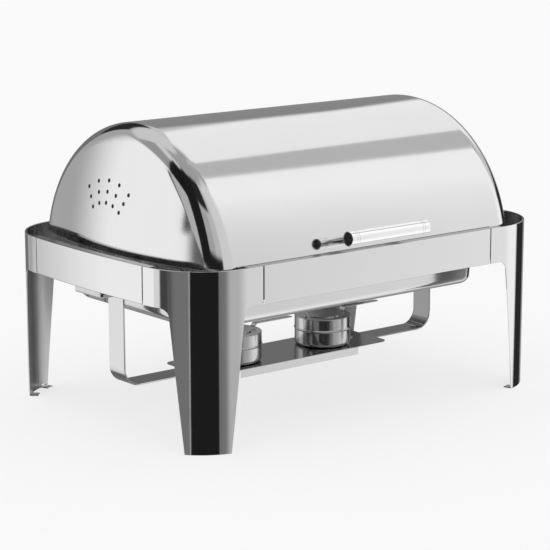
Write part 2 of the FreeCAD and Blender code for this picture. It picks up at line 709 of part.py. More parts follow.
def lid_profile(sketch, inset, start_radius):
    """Half section of the lid: domed ends, round edges, straight barrel."""
    dome = d.dome_radius - inset
    edge = d.lid_fillet - inset
    first = math.degrees(math.asin(start_radius / dome))
    arc(sketch, (DOME_X, 0), dome, first, DOME_ANGLE)
    arc(sketch, (FILLET_X, FILLET_R), edge, DOME_ANGLE, 90)
    line(sketch, (FILLET_X, FILLET_R + edge), (-FILLET_X, FILLET_R + edge))
    arc(sketch, (-FILLET_X, FILLET_R), edge, 90, 180 - DOME_ANGLE)
    arc(sketch, (-DOME_X, 0), dome, 180 - DOME_ANGLE, 180 - first)


def lid_layer(label, outer_inset, inner_inset):
    """Revolved skin about the pivot axis, cut level along the lid's lower edge."""
    body = new_body(label)
    start = d.lid_edge - 10.0
    section = new_sketch(body, "XZ_Plane", "section")
    lid_profile(section, outer_inset, start)
    lid_profile(section, inner_inset, start)
    for side in (-1, 1):
        line(section, (side * dome_x(start, outer_inset), start),
             (side * dome_x(start, inner_inset), start))
    revolve(body, section, "X_Axis")
    cut = new_sketch(body, "XY_Plane", "cut", raised(d.lid_edge))
    rounded_rectangle(cut, 2 * d.lid_apex, 2 * d.lid_radius, 5.0)
    pocket(body, cut)
    body.Placement = raised(d.pivot_height)
    return body


def make_lid():
    shell = lid_layer("lid_shell", 0.0, d.lid_gauge)
    vents = new_sketch(shell, "YZ_Plane", "vents")
    for ring_radius in (58.0, 73.2, 88.5):
        for step in range(-2, 3):
            angle = math.radians(90 + 16.4 * step)
            centre = (d.vent_centre_y + ring_radius * math.cos(angle),
                      d.vent_centre_height + ring_radius * math.sin(angle))
            circle(vents, centre, "vent_radius")
    pocket(shell, vents, symmetric=True)

    hem = lid_layer("lid_hem", d.lid_gauge, 2 * d.lid_gauge)
    top = new_sketch(hem, "XY_Plane", "top", raised(d.lid_edge + d.hem_height))
    rounded_rectangle(top, 2 * d.lid_apex, 2 * d.lid_radius, 5.0)
    pocket(hem, top, reverse=True)


ARM_BOSS_HEIGHT, ARM_BOSS_Y, ARM_BOSS_RADIUS = 60.0, 7.0, 4.0


def make_arm(side, name):
    """Flat arm from the lid's end down to the pivot, with its bush and two bosses."""
    arm = new_body("lid_arm_" + name)
    face = d.arm_outer_x if side < 0 else d.arm_outer_x - d.arm_gauge
    outline = new_sketch(arm, "YZ_Plane", "outline", raised(side * face))
    half, reach = d.arm_half_width, d.arm_reach
    rounded_polygon(outline, [(-half, -half), (half, -half), (half, reach), (-half, reach)],
                    {0: half - 0.05, 1: half - 0.05, 2: 5.0, 3: 5.0})
    circle(outline, (0, 0), "bush_radius")
    pad(arm, outline, "arm_gauge")
    arm.Placement = raised(d.pivot_height)

    inner_x = d.arm_outer_x - d.arm_gauge
    flange_x, flange_radius = inner_x - 2.0, d.bush_radius + 3.0
    bush = new_body("pivot_bush_" + name)
    section = new_sketch(bush, "XZ_Plane", "section")
    bore = d.pin_radius + d.bush_clearance
    profile = [(flange_x, bore), (d.arm_outer_x, bore), (d.arm_outer_x, d.bush_radius),
               (inner_x, d.bush_radius), (inner_x, flange_radius), (flange_x, flange_radius)]
    rounded_polygon(section, [(side * x, r) for x, r in profile])
    revolve(bush, section, "X_Axis")
    bush.Placement = raised(d.pivot_height)

    bosses = []
    farthest = math.hypot(ARM_BOSS_HEIGHT, ARM_BOSS_Y) + ARM_BOSS_RADIUS
    thickness = dome_x(farthest, d.lid_gauge) - d.arm_outer_x
    for y in (-ARM_BOSS_Y, ARM_BOSS_Y):
        bosses.append(cylinder("arm_boss", ARM_BOSS_RADIUS, thickness,
                               (side * d.arm_outer_x, y, d.pivot_height + ARM_BOSS_HEIGHT),
                               (side, 0, 0)))
    group("lid_arm_bosses_" + name, bosses)


HANDLE_Y = -(d.half_width + d.handle_reach - d.handle_radius)
HANDLE_R = math.hypot(HANDLE_Y, d.handle_height - d.pivot_height)
POST_WAY = (0, HANDLE_Y / HANDLE_R, (d.handle_height - d.pivot_height) / HANDLE_R)


def on_post(x, radius):
    """Point on a handle post's axis at a distance from the pivot axis."""
    return (x, radius * POST_WAY[1], d.pivot_height + radius * POST_WAY[2])


def make_handle():
    """Round grip tube on two posts, each held by a screw from inside the lid."""
    tube = new_body("handle_tube")
    section = new_sketch(tube, "XZ_Plane", "section")
    outer, inner, half = d.handle_radius, d.handle_radius - d.handle_wall, d.handle_half
    groove, depth = 0.8, 0.5
    outline = [(-half, inner), (half, inner), (half, outer)]
    for side in (1, -1):
        for offset in ((10.0, 14.0) if side > 0 else (14.0, 10.0)):
            x = half - offset
            first, last = (x + groove, x) if side > 0 else (-x, -x - groove)
            outline += [(first, outer), (first, outer - depth),
                        (last, outer - depth), (last, outer)]
    outline.append((-half, outer))
    rounded_polygon(section, outline, {2: 0.7, len(outline) - 1: 0.7})
    revolve(tube, section, "X_Axis")
    tube.Placement = FreeCAD.Placement(V(0, HANDLE_Y, d.handle_height), FreeCAD.Rotation())

    for side, name in ((-1, "left"), (1, "right")):
        cap = new_body("handle_cap_" + name)
        section = new_sketch(cap, "XZ_Plane", "section")
        fit = inner - 0.02
        end, seat = d.handle_half - 0.6, d.handle_half - 9.0
        profile = [(seat, 0), (end - 3.0, 0), (end - 2.0, 3.0), (end - 2.0, fit - 2.0),
                   (end, fit - 1.2), (end, fit), (seat, fit)]
        rounded_polygon(section, [(side * x, r) for x, r in profile])
        revolve(cap, section, "X_Axis")
        cap.Placement = FreeCAD.Placement(V(0, HANDLE_Y, d.handle_height), FreeCAD.Rotation())

    post_end = HANDLE_R - d.handle_radius + 2.0
    screw_tip = d.lid_radius + 12.0
    inside = d.lid_radius - d.lid_gauge
    posts, screws, lid_holes = [], [], []
    for number, x in enumerate((-d.handle_post_x, d.handle_post_x)):
        blank = cylinder(f"post_blank_{number}", "post_radius", post_end - d.lid_radius,
                         on_post(x, d.lid_radius), POST_WAY)
        grip = cylinder(f"post_saddle_{number}", "handle_radius", 40,
                        (x - 20, HANDLE_Y, d.handle_height), (1, 0, 0))
        thread = cylinder(f"post_thread_{number}", 2.02, screw_tip - d.lid_radius + 1.5,
                          on_post(x, d.lid_radius - 1), POST_WAY)
        tools = doc.addObject("Part::Compound", f"post_tools_{number}")
        tools.Links = [grip, thread]
        post = doc.addObject("Part::Cut", f"handle_post_{number}")
        post.Base = blank
        post.Tool = tools
        posts.append(post)
        screws.append(headed_pin(f"handle_screw_{number}", 2.0, screw_tip - inside + 0.15, 4.0,
                                 2.4, on_post(x, inside - 0.15), POST_WAY))
        lid_holes.append((2.15, on_post(x, inside - 4), POST_WAY, 8))
    group("handle_posts", posts)
    group("handle_screws", screws)
    drill("lid_shell", lid_holes)


# ---------------------------------------------------------------- fuel cups

TRAY_TOP = d.strap_low + d.strap_gauge + d.tray_gauge


def make_fuel_cup(x, name):
    """Open fuel cup, its cover plate with a round flame opening, and the damper, whose
    lever steps up past the cover's edge."""
    radius, high, gauge = d.cup_radius, d.cup_height, d.cup_gauge
    seat = FreeCAD.Placement(V(x, 0, TRAY_TOP), FreeCAD.Rotation())
    cup = new_body("fuel_cup_" + name)
    wall = new_sketch(cup, "XZ_Plane", "wall")
    bead, bead_half = high - 17.5, 1.4
    profile = [(0, 0), (radius, 0), (radius, bead - bead_half), (radius + 1.2, bead - 0.5),
               (radius + 1.2, bead + 0.5), (radius, bead + bead_half), (radius, high),
               (radius - gauge, high), (radius - gauge, gauge), (0, gauge)]
    rounded_polygon(wall, profile, {1: 6.0, 8: 5.0})
    revolve(cup, wall, "Z_Axis")
    cup.Placement = seat

    cover = new_body("cup_cover_" + name)
    plate = new_sketch(cover, "XZ_Plane", "plate")
    opening, collar = 21.0, radius - gauge - 0.1
    profile = [(opening, high), (collar - gauge, high), (collar - gauge, high - 6.0),
               (collar, high - 6.0), (collar, high), (radius + 0.3, high),
               (radius + 0.3, high + gauge), (opening, high + gauge)]
    rounded_polygon(plate, profile)
    revolve(cover, plate, "Z_Axis")
    cover.Placement = seat

    pivot_x = x - d.damper_pivot
    plate_top = TRAY_TOP + high + gauge
    damper_low = plate_top + 0.1
    damper = new_body("damper_" + name)
    disc = new_sketch(damper, "XY_Plane", "disc")
    circle(disc, (0, 0), "damper_radius")
    pad(damper, disc, "damper_gauge")
    half, thick = d.damper_half_width, d.damper_gauge
    start, bend, end = -d.damper_pivot, d.damper_bend, d.damper_tip
    low = new_sketch(damper, "XY_Plane", "lever_low")
    line(low, (start, -half), (bend, -half))
    line(low, (bend, -half), (bend, half))
    line(low, (bend, half), (start, half))
    arc(low, (start, 0), half, 90, 270)
    pad(damper, low, "damper_gauge")
    slope = new_sketch(damper, "XZ_Plane", "lever_slope")
    step_end = bend + d.damper_rise
    rounded_polygon(slope, [(bend - thick, 0), (bend, 0), (step_end, d.damper_rise),
                            (step_end, d.damper_rise + thick),
                            (step_end - thick, d.damper_rise + thick), (bend - thick, thick)])
    pad(damper, slope, "2 * Dim.damper_half_width", symmetric=True)
    high_part = new_sketch(damper, "XY_Plane", "lever_high", raised(d.damper_rise))
    line(high_part, (step_end, -half), (end, -half))
    arc(high_part, (end, 0), half, -90, 90)
    line(high_part, (end, half), (step_end, half))
    line(high_part, (step_end, half), (step_end, -half))
    pad(damper, high_part, "damper_gauge")
    damper.Placement = FreeCAD.Placement(V(x, 0, damper_low), FreeCAD.Rotation())
    drill("damper_" + name, [(2.05, (pivot_x, 0, damper_low - 2), (0, 0, 1), 6)])
    drill("cup_cover_" + name, [(2.02, (pivot_x, 0, plate_top - 3), (0, 0, 1), 5)])

    rivet = headed_pin(f"damper_rivet_{name}_pin", 2.0, 3.6, 4.0, 1.2,
                       (pivot_x, 0, damper_low + d.damper_gauge + 0.1), (0, 0, -1))
    tail = cylinder(f"damper_rivet_{name}_tail", 3.4, 1.0,
                    (pivot_x, 0, plate_top - gauge), (0, 0, -1))
    closed = doc.addObject("Part::Fuse", "damper_rivet_" + name)
    closed.Base = rivet
    closed.Tool = tail
    pieces["damper_rivet_" + name] = closed


# ---------------------------------------------------------------- assembly

def build_all():
    make_frame_ring()
    make_long_rail("rail_front", -1)
    make_long_rail("rail_back", 1)
    make_end_rail("rail_left", -1)
    make_end_rail("rail_right", 1)
    make_leg("leg_front_left", -1, -1)
    make_leg("leg_front_right", 1, -1)
    make_leg("leg_back_left", -1, 1)
    make_leg("leg_back_right", 1, 1)
    for side, name in ((-1, "left"), (1, "right")):
        make_end(side, name)
        make_arm(side, name)
        make_fuel_cup(side * d.cup_x, name)
    make_panel_fasteners()
    make_hanger_fasteners()
    make_fuel_strap()
    make_fuel_tray()
    make_pan("water_pan", d.water_half_x, d.water_half_y, d.water_corner, d.water_flange_x,
             d.water_flange_y, d.water_rim, "Dim.water_rim - Dim.water_bottom",
             d.water_rim - d.water_bottom)
    make_pan("food_pan", d.food_half_x, d.food_half_y, d.food_corner, d.food_rim_x,
             d.food_rim_y, d.water_rim + d.pan_gauge, "Dim.food_depth", d.food_depth)
    make_lid()
    make_handle()


def check_and_write():
    """Move each piece to the object's own origin, check it and write its STEP file."""
    doc.recompute()
    centre = FreeCAD.Placement(V(0, d.handle_reach / 2, 0), FreeCAD.Rotation())
    for label, piece in pieces.items():
        piece.Placement = centre * piece.Placement
        piece.Label = label
    doc.recompute()
    for item in doc.Objects:
        if "Invalid" in item.State or "Error" in item.State:
            raise RuntimeError(f"{item.Name} failed: {item.State}")
    os.makedirs("parts", exist_ok=True)
    for label, piece in pieces.items():
        if piece.Shape.isNull() or not piece.Shape.isValid():
            raise RuntimeError(f"{label} is not a valid shape")
        piece.Shape.exportStep(f"parts/{label}.step")
        box = piece.Shape.BoundBox
        print(f"{label:24s} solids {len(piece.Shape.Solids):3d}  "
              f"x {box.XMin:8.1f} {box.XMax:8.1f}  y {box.YMin:8.1f} {box.YMax:8.1f}  "
              f"z {box.ZMin:8.1f} {box.ZMax:8.1f}")


build_all()
check_and_write()
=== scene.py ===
import json
import math

import bpy
import numpy as np
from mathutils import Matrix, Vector
from mathutils.geometry import delaunay_2d_cdt


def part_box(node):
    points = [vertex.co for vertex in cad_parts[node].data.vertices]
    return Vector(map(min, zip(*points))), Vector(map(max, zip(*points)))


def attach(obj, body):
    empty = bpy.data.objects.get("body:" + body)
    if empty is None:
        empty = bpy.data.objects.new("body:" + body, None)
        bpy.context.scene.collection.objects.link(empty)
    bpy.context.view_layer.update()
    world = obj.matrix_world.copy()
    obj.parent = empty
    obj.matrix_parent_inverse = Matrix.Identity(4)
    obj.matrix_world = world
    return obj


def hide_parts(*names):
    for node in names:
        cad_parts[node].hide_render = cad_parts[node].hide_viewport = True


# Roll-top chafing dish in polished steel.  Metres, +Z up, -Y the handle side.
# Every sheet is built as thin closed metal: both faces, the edge and a small bevel, with the
# exact normal of its curve at each corner, so that mirror reflections run true.

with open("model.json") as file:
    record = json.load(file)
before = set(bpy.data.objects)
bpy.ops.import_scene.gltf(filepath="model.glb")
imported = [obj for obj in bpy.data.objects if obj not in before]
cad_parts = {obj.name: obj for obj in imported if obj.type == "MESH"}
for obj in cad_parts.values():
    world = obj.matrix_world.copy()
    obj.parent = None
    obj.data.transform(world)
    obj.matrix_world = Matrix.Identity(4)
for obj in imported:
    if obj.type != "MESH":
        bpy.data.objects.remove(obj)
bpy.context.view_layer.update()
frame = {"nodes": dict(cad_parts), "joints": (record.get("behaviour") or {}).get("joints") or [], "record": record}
nodes = frame["nodes"]


# -------- sizes

def box(name):
    low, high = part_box(name)
    return np.array(low), np.array(high)


FRONT_LOW, FRONT_HIGH = box("rail_front")
BACK_HIGH = box("rail_back")[1]
END_HIGH = box("rail_right")[1]
CENTRE_Y = (FRONT_LOW[1] + BACK_HIGH[1]) / 2
HALF_WIDTH = (BACK_HIGH[1] - FRONT_LOW[1]) / 2
RAIL_BOTTOM, RAIL_TOP = FRONT_LOW[2], FRONT_HIGH[2]
APEX_X = END_HIGH[0]
GAUGE = 0.0015
SEAM_GAP = 0.002
SEAM_X = FRONT_HIGH[0]
SEAM_Y = END_HIGH[1] - CENTRE_Y
CORNER_RADIUS = 0.0968
END_BOW = 0.0043
BEVEL = 0.00035
MIDDLE = np.array([0, CENTRE_Y])
QUADRANTS = ((1, 1), (-1, 1), (-1, -1), (1, -1))


# -------- mesh builder

def new_object(name, data):
    made = bpy.data.objects.new(name, data)
    bpy.context.scene.collection.objects.link(made)
    return made


def unit(vectors):
    length = np.linalg.norm(vectors, axis=-1, keepdims=True)
    return vectors / np.maximum(length, 1e-12)


class Skin:
    """Patches of faces with a normal for every corner, welded into one mesh."""

    def __init__(self):
        self.points, self.normals, self.faces, self.sides = [], [], [], []
        self.side, self.count = 0, 0

    def add(self, points, faces, normals):
        """Faces over points, with one normal per point; winding follows the normals."""
        points, normals = np.asarray(points, float), np.asarray(normals, float)
        a, b, c = (points[[f[i] for f in faces]] for i in (0, 1, 2))
        lean = np.cross(b - a, c - a)
        agree = np.einsum("ij,ij->", lean, normals[[f[0] for f in faces]])
        if agree < 0:
            faces = [list(reversed(f)) for f in faces]
        self.points.append(points)
        self.normals.append(normals)
        self.faces += [[i + self.count for i in f] for f in faces]
        self.sides += [self.side] * len(faces)
        self.count += len(points)

    def grid(self, points, normals, around=False, closed=False):
        """Quads over a (rows, columns, 3) array; around joins the columns, closed the rows."""
        rows, columns = points.shape[:2]
        index = np.arange(rows * columns).reshape(rows, columns)
        if around:
            index = np.concatenate([index, index[:, :1]], axis=1)
        if closed:
            index = np.concatenate([index, index[:1]], axis=0)
        quads = np.stack([index[:-1, :-1], index[:-1, 1:], index[1:, 1:], index[1:, :-1]], -1)
        self.add(points.reshape(-1, 3), quads.reshape(-1, 4).tolist(), normals.reshape(-1, 3))

    def build(self, name, slot, body, replaced, material=None, inner=None):
        """The mesh object, in its slot's finish unless a material is given; inner is the
        material of the faces added with side 1. On several pieces one of these is a darker steel copy with painted
        shade."""
        points = np.concatenate(self.points)
        normals = np.concatenate(self.normals)
        keys = np.round(points * 1e6).astype(np.int64)  # welded to the micrometre
        _, first, weld = np.unique(keys, axis=0, return_index=True, return_inverse=True)
        weld = weld.reshape(-1).tolist()
        faces, corner_normals, sides = [], [], []
        for face, side in zip(self.faces, self.sides):
            kept = [i for k, i in enumerate(face) if weld[i] != weld[face[k - 1]]]
            if len(kept) > 2 and len({weld[i] for i in kept}) == len(kept):
                faces.append([weld[i] for i in kept])
                corner_normals += [normals[i] for i in kept]
                sides.append(side if inner else 0)
        mesh = bpy.data.meshes.new(name)
        mesh.from_pydata(points[first].tolist(), [], faces)
        mesh.polygons.foreach_set("use_smooth", [True] * len(mesh.polygons))
        mesh.normals_split_custom_set(unit(np.array(corner_normals)).tolist())
        mesh.materials.append(material or finish[slot])
        if inner:
            mesh.materials.append(inner)
            mesh.polygons.foreach_set("material_index", sides)
        piece = new_object(name, mesh)
        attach(piece, body)
        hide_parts(*replaced)


SHARP_TURN = math.radians(38)


def edge_loop(points, closed=True):
    """Outward normals of a counter-clockwise loop.  A sharp corner is listed twice, once for
    each side, and the third result is the mitred way out that both share."""
    points = np.asarray(points, float)
    count = len(points)
    after = np.roll(points, -1, axis=0) - points
    length = np.linalg.norm(after, axis=1)
    out = np.stack([after[:, 1], -after[:, 0]], -1) / np.maximum(length, 1e-12)[:, None]
    rows = []
    for i in range(count):
        if not closed and i in (0, count - 1):
            side = out[0] if i == 0 else out[-2]
            rows.append((points[i], side, side))
            continue
        before, following = out[i - 1], out[i]
        cosine = float(np.clip(before @ following, -0.9, 1))
        mitre = (before + following) / (1 + cosine)
        if math.acos(cosine) > SHARP_TURN:
            sides = [before, following]
        else:
            sides = [unit(before * length[i - 1] + following * length[i])]
        rows += [(points[i], side, mitre) for side in sides]
    return [np.array(values) for values in zip(*rows)]


def rounded(points, radii=None, default=0.0, steps=6):
    """Closed or open outline through points, with its corners rounded."""
    radii = radii or {}
    points = [np.array(point, float) for point in points]
    result = []
    for i, corner in enumerate(points):
        radius = radii.get(i, default)
        if not radius:
            result.append(corner)
            continue
        before = unit(points[i - 1] - corner)
        after = unit(points[(i + 1) % len(points)] - corner)
        half = math.acos(float(np.clip(before @ after, -1, 1))) / 2
        centre = corner + unit(before + after) * radius / math.sin(half)
        start = corner + before * radius / math.tan(half) - centre
        end = corner + after * radius / math.tan(half) - centre
        turn = math.copysign(math.pi - 2 * half, start[0] * end[1] - start[1] * end[0])
        for k in range(steps + 1):
            a = turn * k / steps
            result.append(centre + np.array([start[0] * math.cos(a) - start[1] * math.sin(a),
                                             start[0] * math.sin(a) + start[1] * math.cos(a)]))
    return result


def divided(loop, step):
    """The loop with its long stretches divided."""
    loop = np.asarray(loop, float)
    result = []
    for start, end in zip(loop, np.roll(loop, -1, axis=0)):
        parts = max(1, int(np.linalg.norm(end - start) / step))
        result += [start + (end - start) * k / parts for k in range(parts)]
    return result


def arc(centre_x, radius, start, end, steps):
    """Points round a centre on the first axis."""
    return [(centre_x + radius * math.cos(a), radius * math.sin(a))
            for a in np.linspace(start, end, steps)]


def round_hole(centre, radius, steps=24):
    """Clockwise circle, for a hole in a sheet."""
    angles = -2 * math.pi * np.arange(steps) / steps
    return [(centre[0] + radius * math.cos(a), centre[1] + radius * math.sin(a)) for a in angles]


def inside(points, loop):
    """Which of the points lie within a closed loop."""
    loop = np.asarray(loop, float)
    x, y = points[:, 0][:, None], points[:, 1][:, None]
    x0, y0 = loop[:, 0], loop[:, 1]
    x1, y1 = np.roll(x0, -1), np.roll(y0, -1)
    spans = (y0 <= y) != (y1 <= y)
    with np.errstate(divide="ignore", invalid="ignore"):
        cross_x = x0 + (y - y0) * (x1 - x0) / (y1 - y0)
    return (np.where(spans, cross_x > x, False).sum(axis=1) % 2) == 1


def within(points, loops):
    """Which of the points lie in the first loop and in none of the others."""
    keep = inside(points, loops[0])
    for hole in loops[1:]:
        keep &= ~inside(points, hole)
    return keep


def fill(loops, spacing):
    """Points and triangles that fill the first loop and leave the others as holes."""
    outline = np.asarray(loops[0], float)
    points = [tuple(p) for loop in loops for p in loop]
    edges, start = [], 0
    for loop in loops:
        edges += [(start + i, start + (i + 1) % len(loop)) for i in range(len(loop))]
        start += len(loop)
    low, high = outline.min(0), outline.max(0)
    counts = np.maximum(2, ((high - low) / spacing).astype(int))
    xs = np.linspace(low[0], high[0], counts[0] + 1)[1:-1]
    ys = np.linspace(low[1], high[1], counts[1] + 1)[1:-1]
    extra = np.array([(x, y) for x in xs for y in ys]).reshape(-1, 2)
    if len(extra):
        near = np.asarray(points)
        gap = 0.3 * min(spacing)
        extra = extra[within(extra, loops)]
        clear = [np.hypot(*(near - p).T).min() > gap for p in extra]
        points += [tuple(p) for p in extra[clear]] if len(extra) else []
    found = delaunay_2d_cdt([Vector(p) for p in points], edges, [], 0, 1e-9)
    flat = np.array([tuple(v) for v in found[0]])
    triangles = np.array([tuple(f) for f in found[2]])
    middles = flat[triangles].mean(axis=1)
    return flat, triangles[within(middles, loops)].tolist()


def sheet(skin, loops, place, gauge, spacing, bevel=BEVEL):
    """Sheet cut to loops in its own (u, v) plane.  place(uv, depth) gives points and the
    outer face's normals; depth goes from the outer face inward."""
    step = 1e-5  # short way outward that shows how an edge faces
    pulled = []
    for loop in loops:
        edge, out, mitre = edge_loop(loop)
        ring_points, ring_normals = [], []
        inner = edge - mitre * bevel
        for uv, depth, level in ((inner, 0, 1), (edge, bevel, 0),
                                 (edge, gauge - bevel, 0), (inner, gauge, -1)):
            points, normals = place(uv, depth)
            if level:
                ring_normals.append(normals * level)
            else:
                ahead = place(uv + out * step, depth)[0]
                ring_normals.append(unit(ahead - points))
            ring_points.append(points)
        skin.grid(np.array(ring_points), np.array(ring_normals), around=True)
        _, first = np.unique(np.round(inner * 1e7), axis=0, return_index=True)
        pulled.append(inner[np.sort(first)])
    flat, triangles = fill(pulled, spacing)
    for depth, level in ((0, 1), (gauge, -1)):
        points, normals = place(flat, depth)
        skin.side = 0 if level > 0 else 1
        skin.add(points, triangles, normals * level)
    skin.side = 0


def flat_plate(origin, u_way, v_way):
    """place() of a flat sheet; its outer face looks along u x v."""
    origin, u_way, v_way = (np.array(v, float) for v in (origin, u_way, v_way))
    normal = np.cross(u_way, v_way)

    def place(uv, depth):
        points = origin + uv[:, :1] * u_way + uv[:, 1:] * v_way - normal * depth
        return points, np.tile(normal, (len(uv), 1))
    return place


def carry(path, out, edge, lean, middle):
    """Points and normals of a section of (inset, z) set at each point of a plan path."""
    points = np.zeros((len(path), len(edge), 3))
    normals = np.zeros_like(points)
    points[:, :, :2] = path[:, None] - out[:, None] * edge[None, :, :1] + middle
    points[:, :, 2] = edge[None, :, 1]
    normals[:, :, :2] = -out[:, None] * lean[None, :, :1]
    normals[:, :, 2] = lean[None, :, 1]
    return points, normals


def sweep(skin, path, out, section, closed=False):
    """Carry a closed section of (inset, z) along a plan path about the frame's middle, given
    with its outward normals, and cap both ends unless the path is closed."""
    edge, lean, _ = edge_loop(section)
    skin.grid(*carry(path, out, edge, lean, MIDDLE), around=True, closed=closed)
    if closed:
        return
    flat, triangles = fill([section], (1, 1))
    for i, way in ((0, -1), (-1, 1)):
        tangent = np.array([-out[i][1], out[i][0]])
        along = path[-1] - path[0]
        tangent = tangent * np.sign(tangent @ along) * way
        cap = np.zeros((len(flat), 3))
        cap[:, :2] = path[i] - out[i] * flat[:, :1] + MIDDLE
        cap[:, 2] = flat[:, 1]
        skin.add(cap, triangles, np.tile([*tangent, 0], (len(flat), 1)))


def lathe(skin, profile, origin, axis="Z", steps=96):
    """Turn a closed profile of (radius, height) about an axis through origin."""
    edge, lean, _ = edge_loop(profile)
    angles = 2 * math.pi * np.arange(steps) / steps
    ring = np.stack([np.cos(angles), np.sin(angles)], -1)
    points = np.zeros((len(edge), steps, 3))
    normals = np.zeros_like(points)
    order = {"Z": (0, 1, 2), "X": (1, 2, 0)}[axis]
    for target, values in ((points, edge), (normals, lean)):
        target[:, :, order[0]] = values[:, :1] * ring[:, 0]
        target[:, :, order[1]] = values[:, :1] * ring[:, 1]
        target[:, :, order[2]] = values[:, 1:]
    skin.grid(points + np.array(origin, float), normals, around=True)


# -------- materials

def new_material(name):
    material = bpy.data.materials.new(name)
    material.use_nodes = True
    tree = material.node_tree
    shader = tree.nodes["Principled BSDF"]
    place = tree.nodes.new("ShaderNodeTexCoord")
    return material, tree, shader, place.outputs["Object"]


def new_node(tree, kind, values, sources):
    """A node with the values and the links of its sockets."""
    node = tree.nodes.new(kind)
    for socket, value in values.items():
        node.inputs[socket].default_value = value
    for socket, source in sources.items():
        tree.links.new(source, node.inputs[socket])
    return node


def noise(tree, vector, scale, detail, stretch=(1, 1, 1)):
    mapping = new_node(tree, "ShaderNodeMapping", {"Scale": stretch}, {"Vector": vector})
    texture = new_node(tree, "ShaderNodeTexNoise", {"Scale": scale, "Detail": detail},
                       {"Vector": mapping.outputs["Vector"]})
    return texture.outputs["Fac"]


NOISE_LOW, NOISE_HIGH = 0.3, 0.7


def spread(tree, value, low, high):
    """Noise brought to a range."""
    ends = {"From Min": NOISE_LOW, "From Max": NOISE_HIGH, "To Min": low, "To Max": high}
    return new_node(tree, "ShaderNodeMapRange", ends, {"Value": value}).outputs["Result"]


def tint(tree, value, dark, light):
    """Colour between dark and light; a mix node's colours are sockets 6 and 7, its result 2."""
    node = tree.nodes.new("ShaderNodeMix")
    node.data_type = "RGBA"
    node.inputs[6].default_value = (*dark, 1)
    node.inputs[7].default_value = (*light, 1)
    tree.links.new(value, node.inputs[0])
    return node.outputs[2]


def bump(tree, height, strength, distance, below=None):
    sources = {"Height": height, "Normal": below} if below else {"Height": height}
    return new_node(tree, "ShaderNodeBump", {"Strength": strength, "Distance": distance},
                    sources).outputs["Normal"]


def dress(tree, shader, colour, roughness, normal):
    for socket, source in (("Base Color", colour), ("Roughness", roughness), ("Normal", normal)):
        tree.links.new(source, shader.inputs[socket])


CLOUD_SCALE, LINE_SCALE, WAVE_SCALE, GRAIN_SCALE = 9.0, 260.0, 14.0, 900.0
STEEL_DARK, PLASTIC_DARK = 0.955, 0.7
SMOOTHEST, STEEL_ROUGHEST, PLASTIC_ROUGHEST = 0.8, 1.25, 1.3
WAVE_HEIGHT, SCRATCH_HEIGHT = 0.004, 0.0001
GRAIN_STRENGTH, GRAIN_HEIGHT = 0.25, 0.0002
ALONG_X, ALONG_Z, NO_WAY = (0.04, 1, 1), (1, 1, 0.04), (1, 1, 1)


def steel(name, tone, rough, grain=ALONG_X, waviness=0.02, scratch=0.03):
    """Polished stainless steel: faint buffing lines along grain, and a little waviness."""
    material, tree, shader, place = new_material(name)
    shader.inputs["Metallic"].default_value = 1.0
    colour = tint(tree, noise(tree, place, CLOUD_SCALE, 3.0), [c * STEEL_DARK for c in tone], tone)
    lines = noise(tree, place, LINE_SCALE, 4.0, grain)
    roughness = spread(tree, lines, rough * SMOOTHEST, rough * STEEL_ROUGHEST)
    soft = bump(tree, noise(tree, place, WAVE_SCALE, 1.0), waviness, WAVE_HEIGHT)
    dress(tree, shader, colour, roughness, bump(tree, lines, scratch, SCRATCH_HEIGHT, soft))
    return material


def plastic(name, tone, rough):
    """Moulded plastic with a fine grain."""
    material, tree, shader, place = new_material(name)
    grain = noise(tree, place, GRAIN_SCALE, 4.0)
    colour = tint(tree, grain, [c * PLASTIC_DARK for c in tone], tone)
    roughness = spread(tree, grain, rough * SMOOTHEST, rough * PLASTIC_ROUGHEST)
    dress(tree, shader, colour, roughness, bump(tree, grain, GRAIN_STRENGTH, GRAIN_HEIGHT))
    return material


STEEL_TONE = 0.80
STEEL = (STEEL_TONE, STEEL_TONE, STEEL_TONE + 0.004)
finish = {
    "polished_steel": steel("polished steel", STEEL, 0.055),
    "inner_steel": steel("inner steel", (0.76, 0.76, 0.76), 0.30),
    "fastener_steel": steel("fastener steel", (0.62, 0.62, 0.61), 0.25, NO_WAY),
    "cup_steel": steel("cup steel", (0.62, 0.62, 0.62), 0.17, ALONG_Z),
    "stand_steel": steel("stand steel", (0.74, 0.74, 0.74), 0.10),
    "pan_steel": steel("pan steel", (0.74, 0.74, 0.74), 0.13),
    "bush_nylon": plastic("bush nylon", (0.72, 0.71, 0.68), 0.5),
    "cap_black": plastic("cap black", (0.02, 0.02, 0.022), 0.35),
}
lid_steel = steel("lid steel", STEEL, 0.08, waviness=0.012)
# Inside of the lid: a dark copy of the steel, painted shade.
lid_inner_shaded_steel = steel("lid inner steel", (0.20, 0.20, 0.20), 0.40)
# Inner faces of the legs: rougher steel, darker in tone as painted shade.
leg_inner_shaded_steel = steel("leg inner steel", (0.55, 0.55, 0.55), 0.34, ALONG_Z)
# Frame ring: a dark copy of its inner steel, painted shade in the channel between lid and rails.
ring_shaded_steel = steel("ring steel", (0.36, 0.36, 0.36), 0.22, scratch=0.01)
# Top of the tray: darker than its underside, painted shade under the pans.
tray_top_shaded_steel = steel("tray top steel", (0.36, 0.36, 0.36), 0.14)
# Inside of the strap's U: a dark copy of its steel, painted shade.
strap_inner_shaded_steel = steel("strap inner steel", (0.30, 0.30, 0.30), 0.16)
# Grip: a brighter copy of the polished steel, painted highlight.
grip_highlight_steel = steel("grip steel", (0.97, 0.97, 0.97), 0.07)


# -------- frame outline

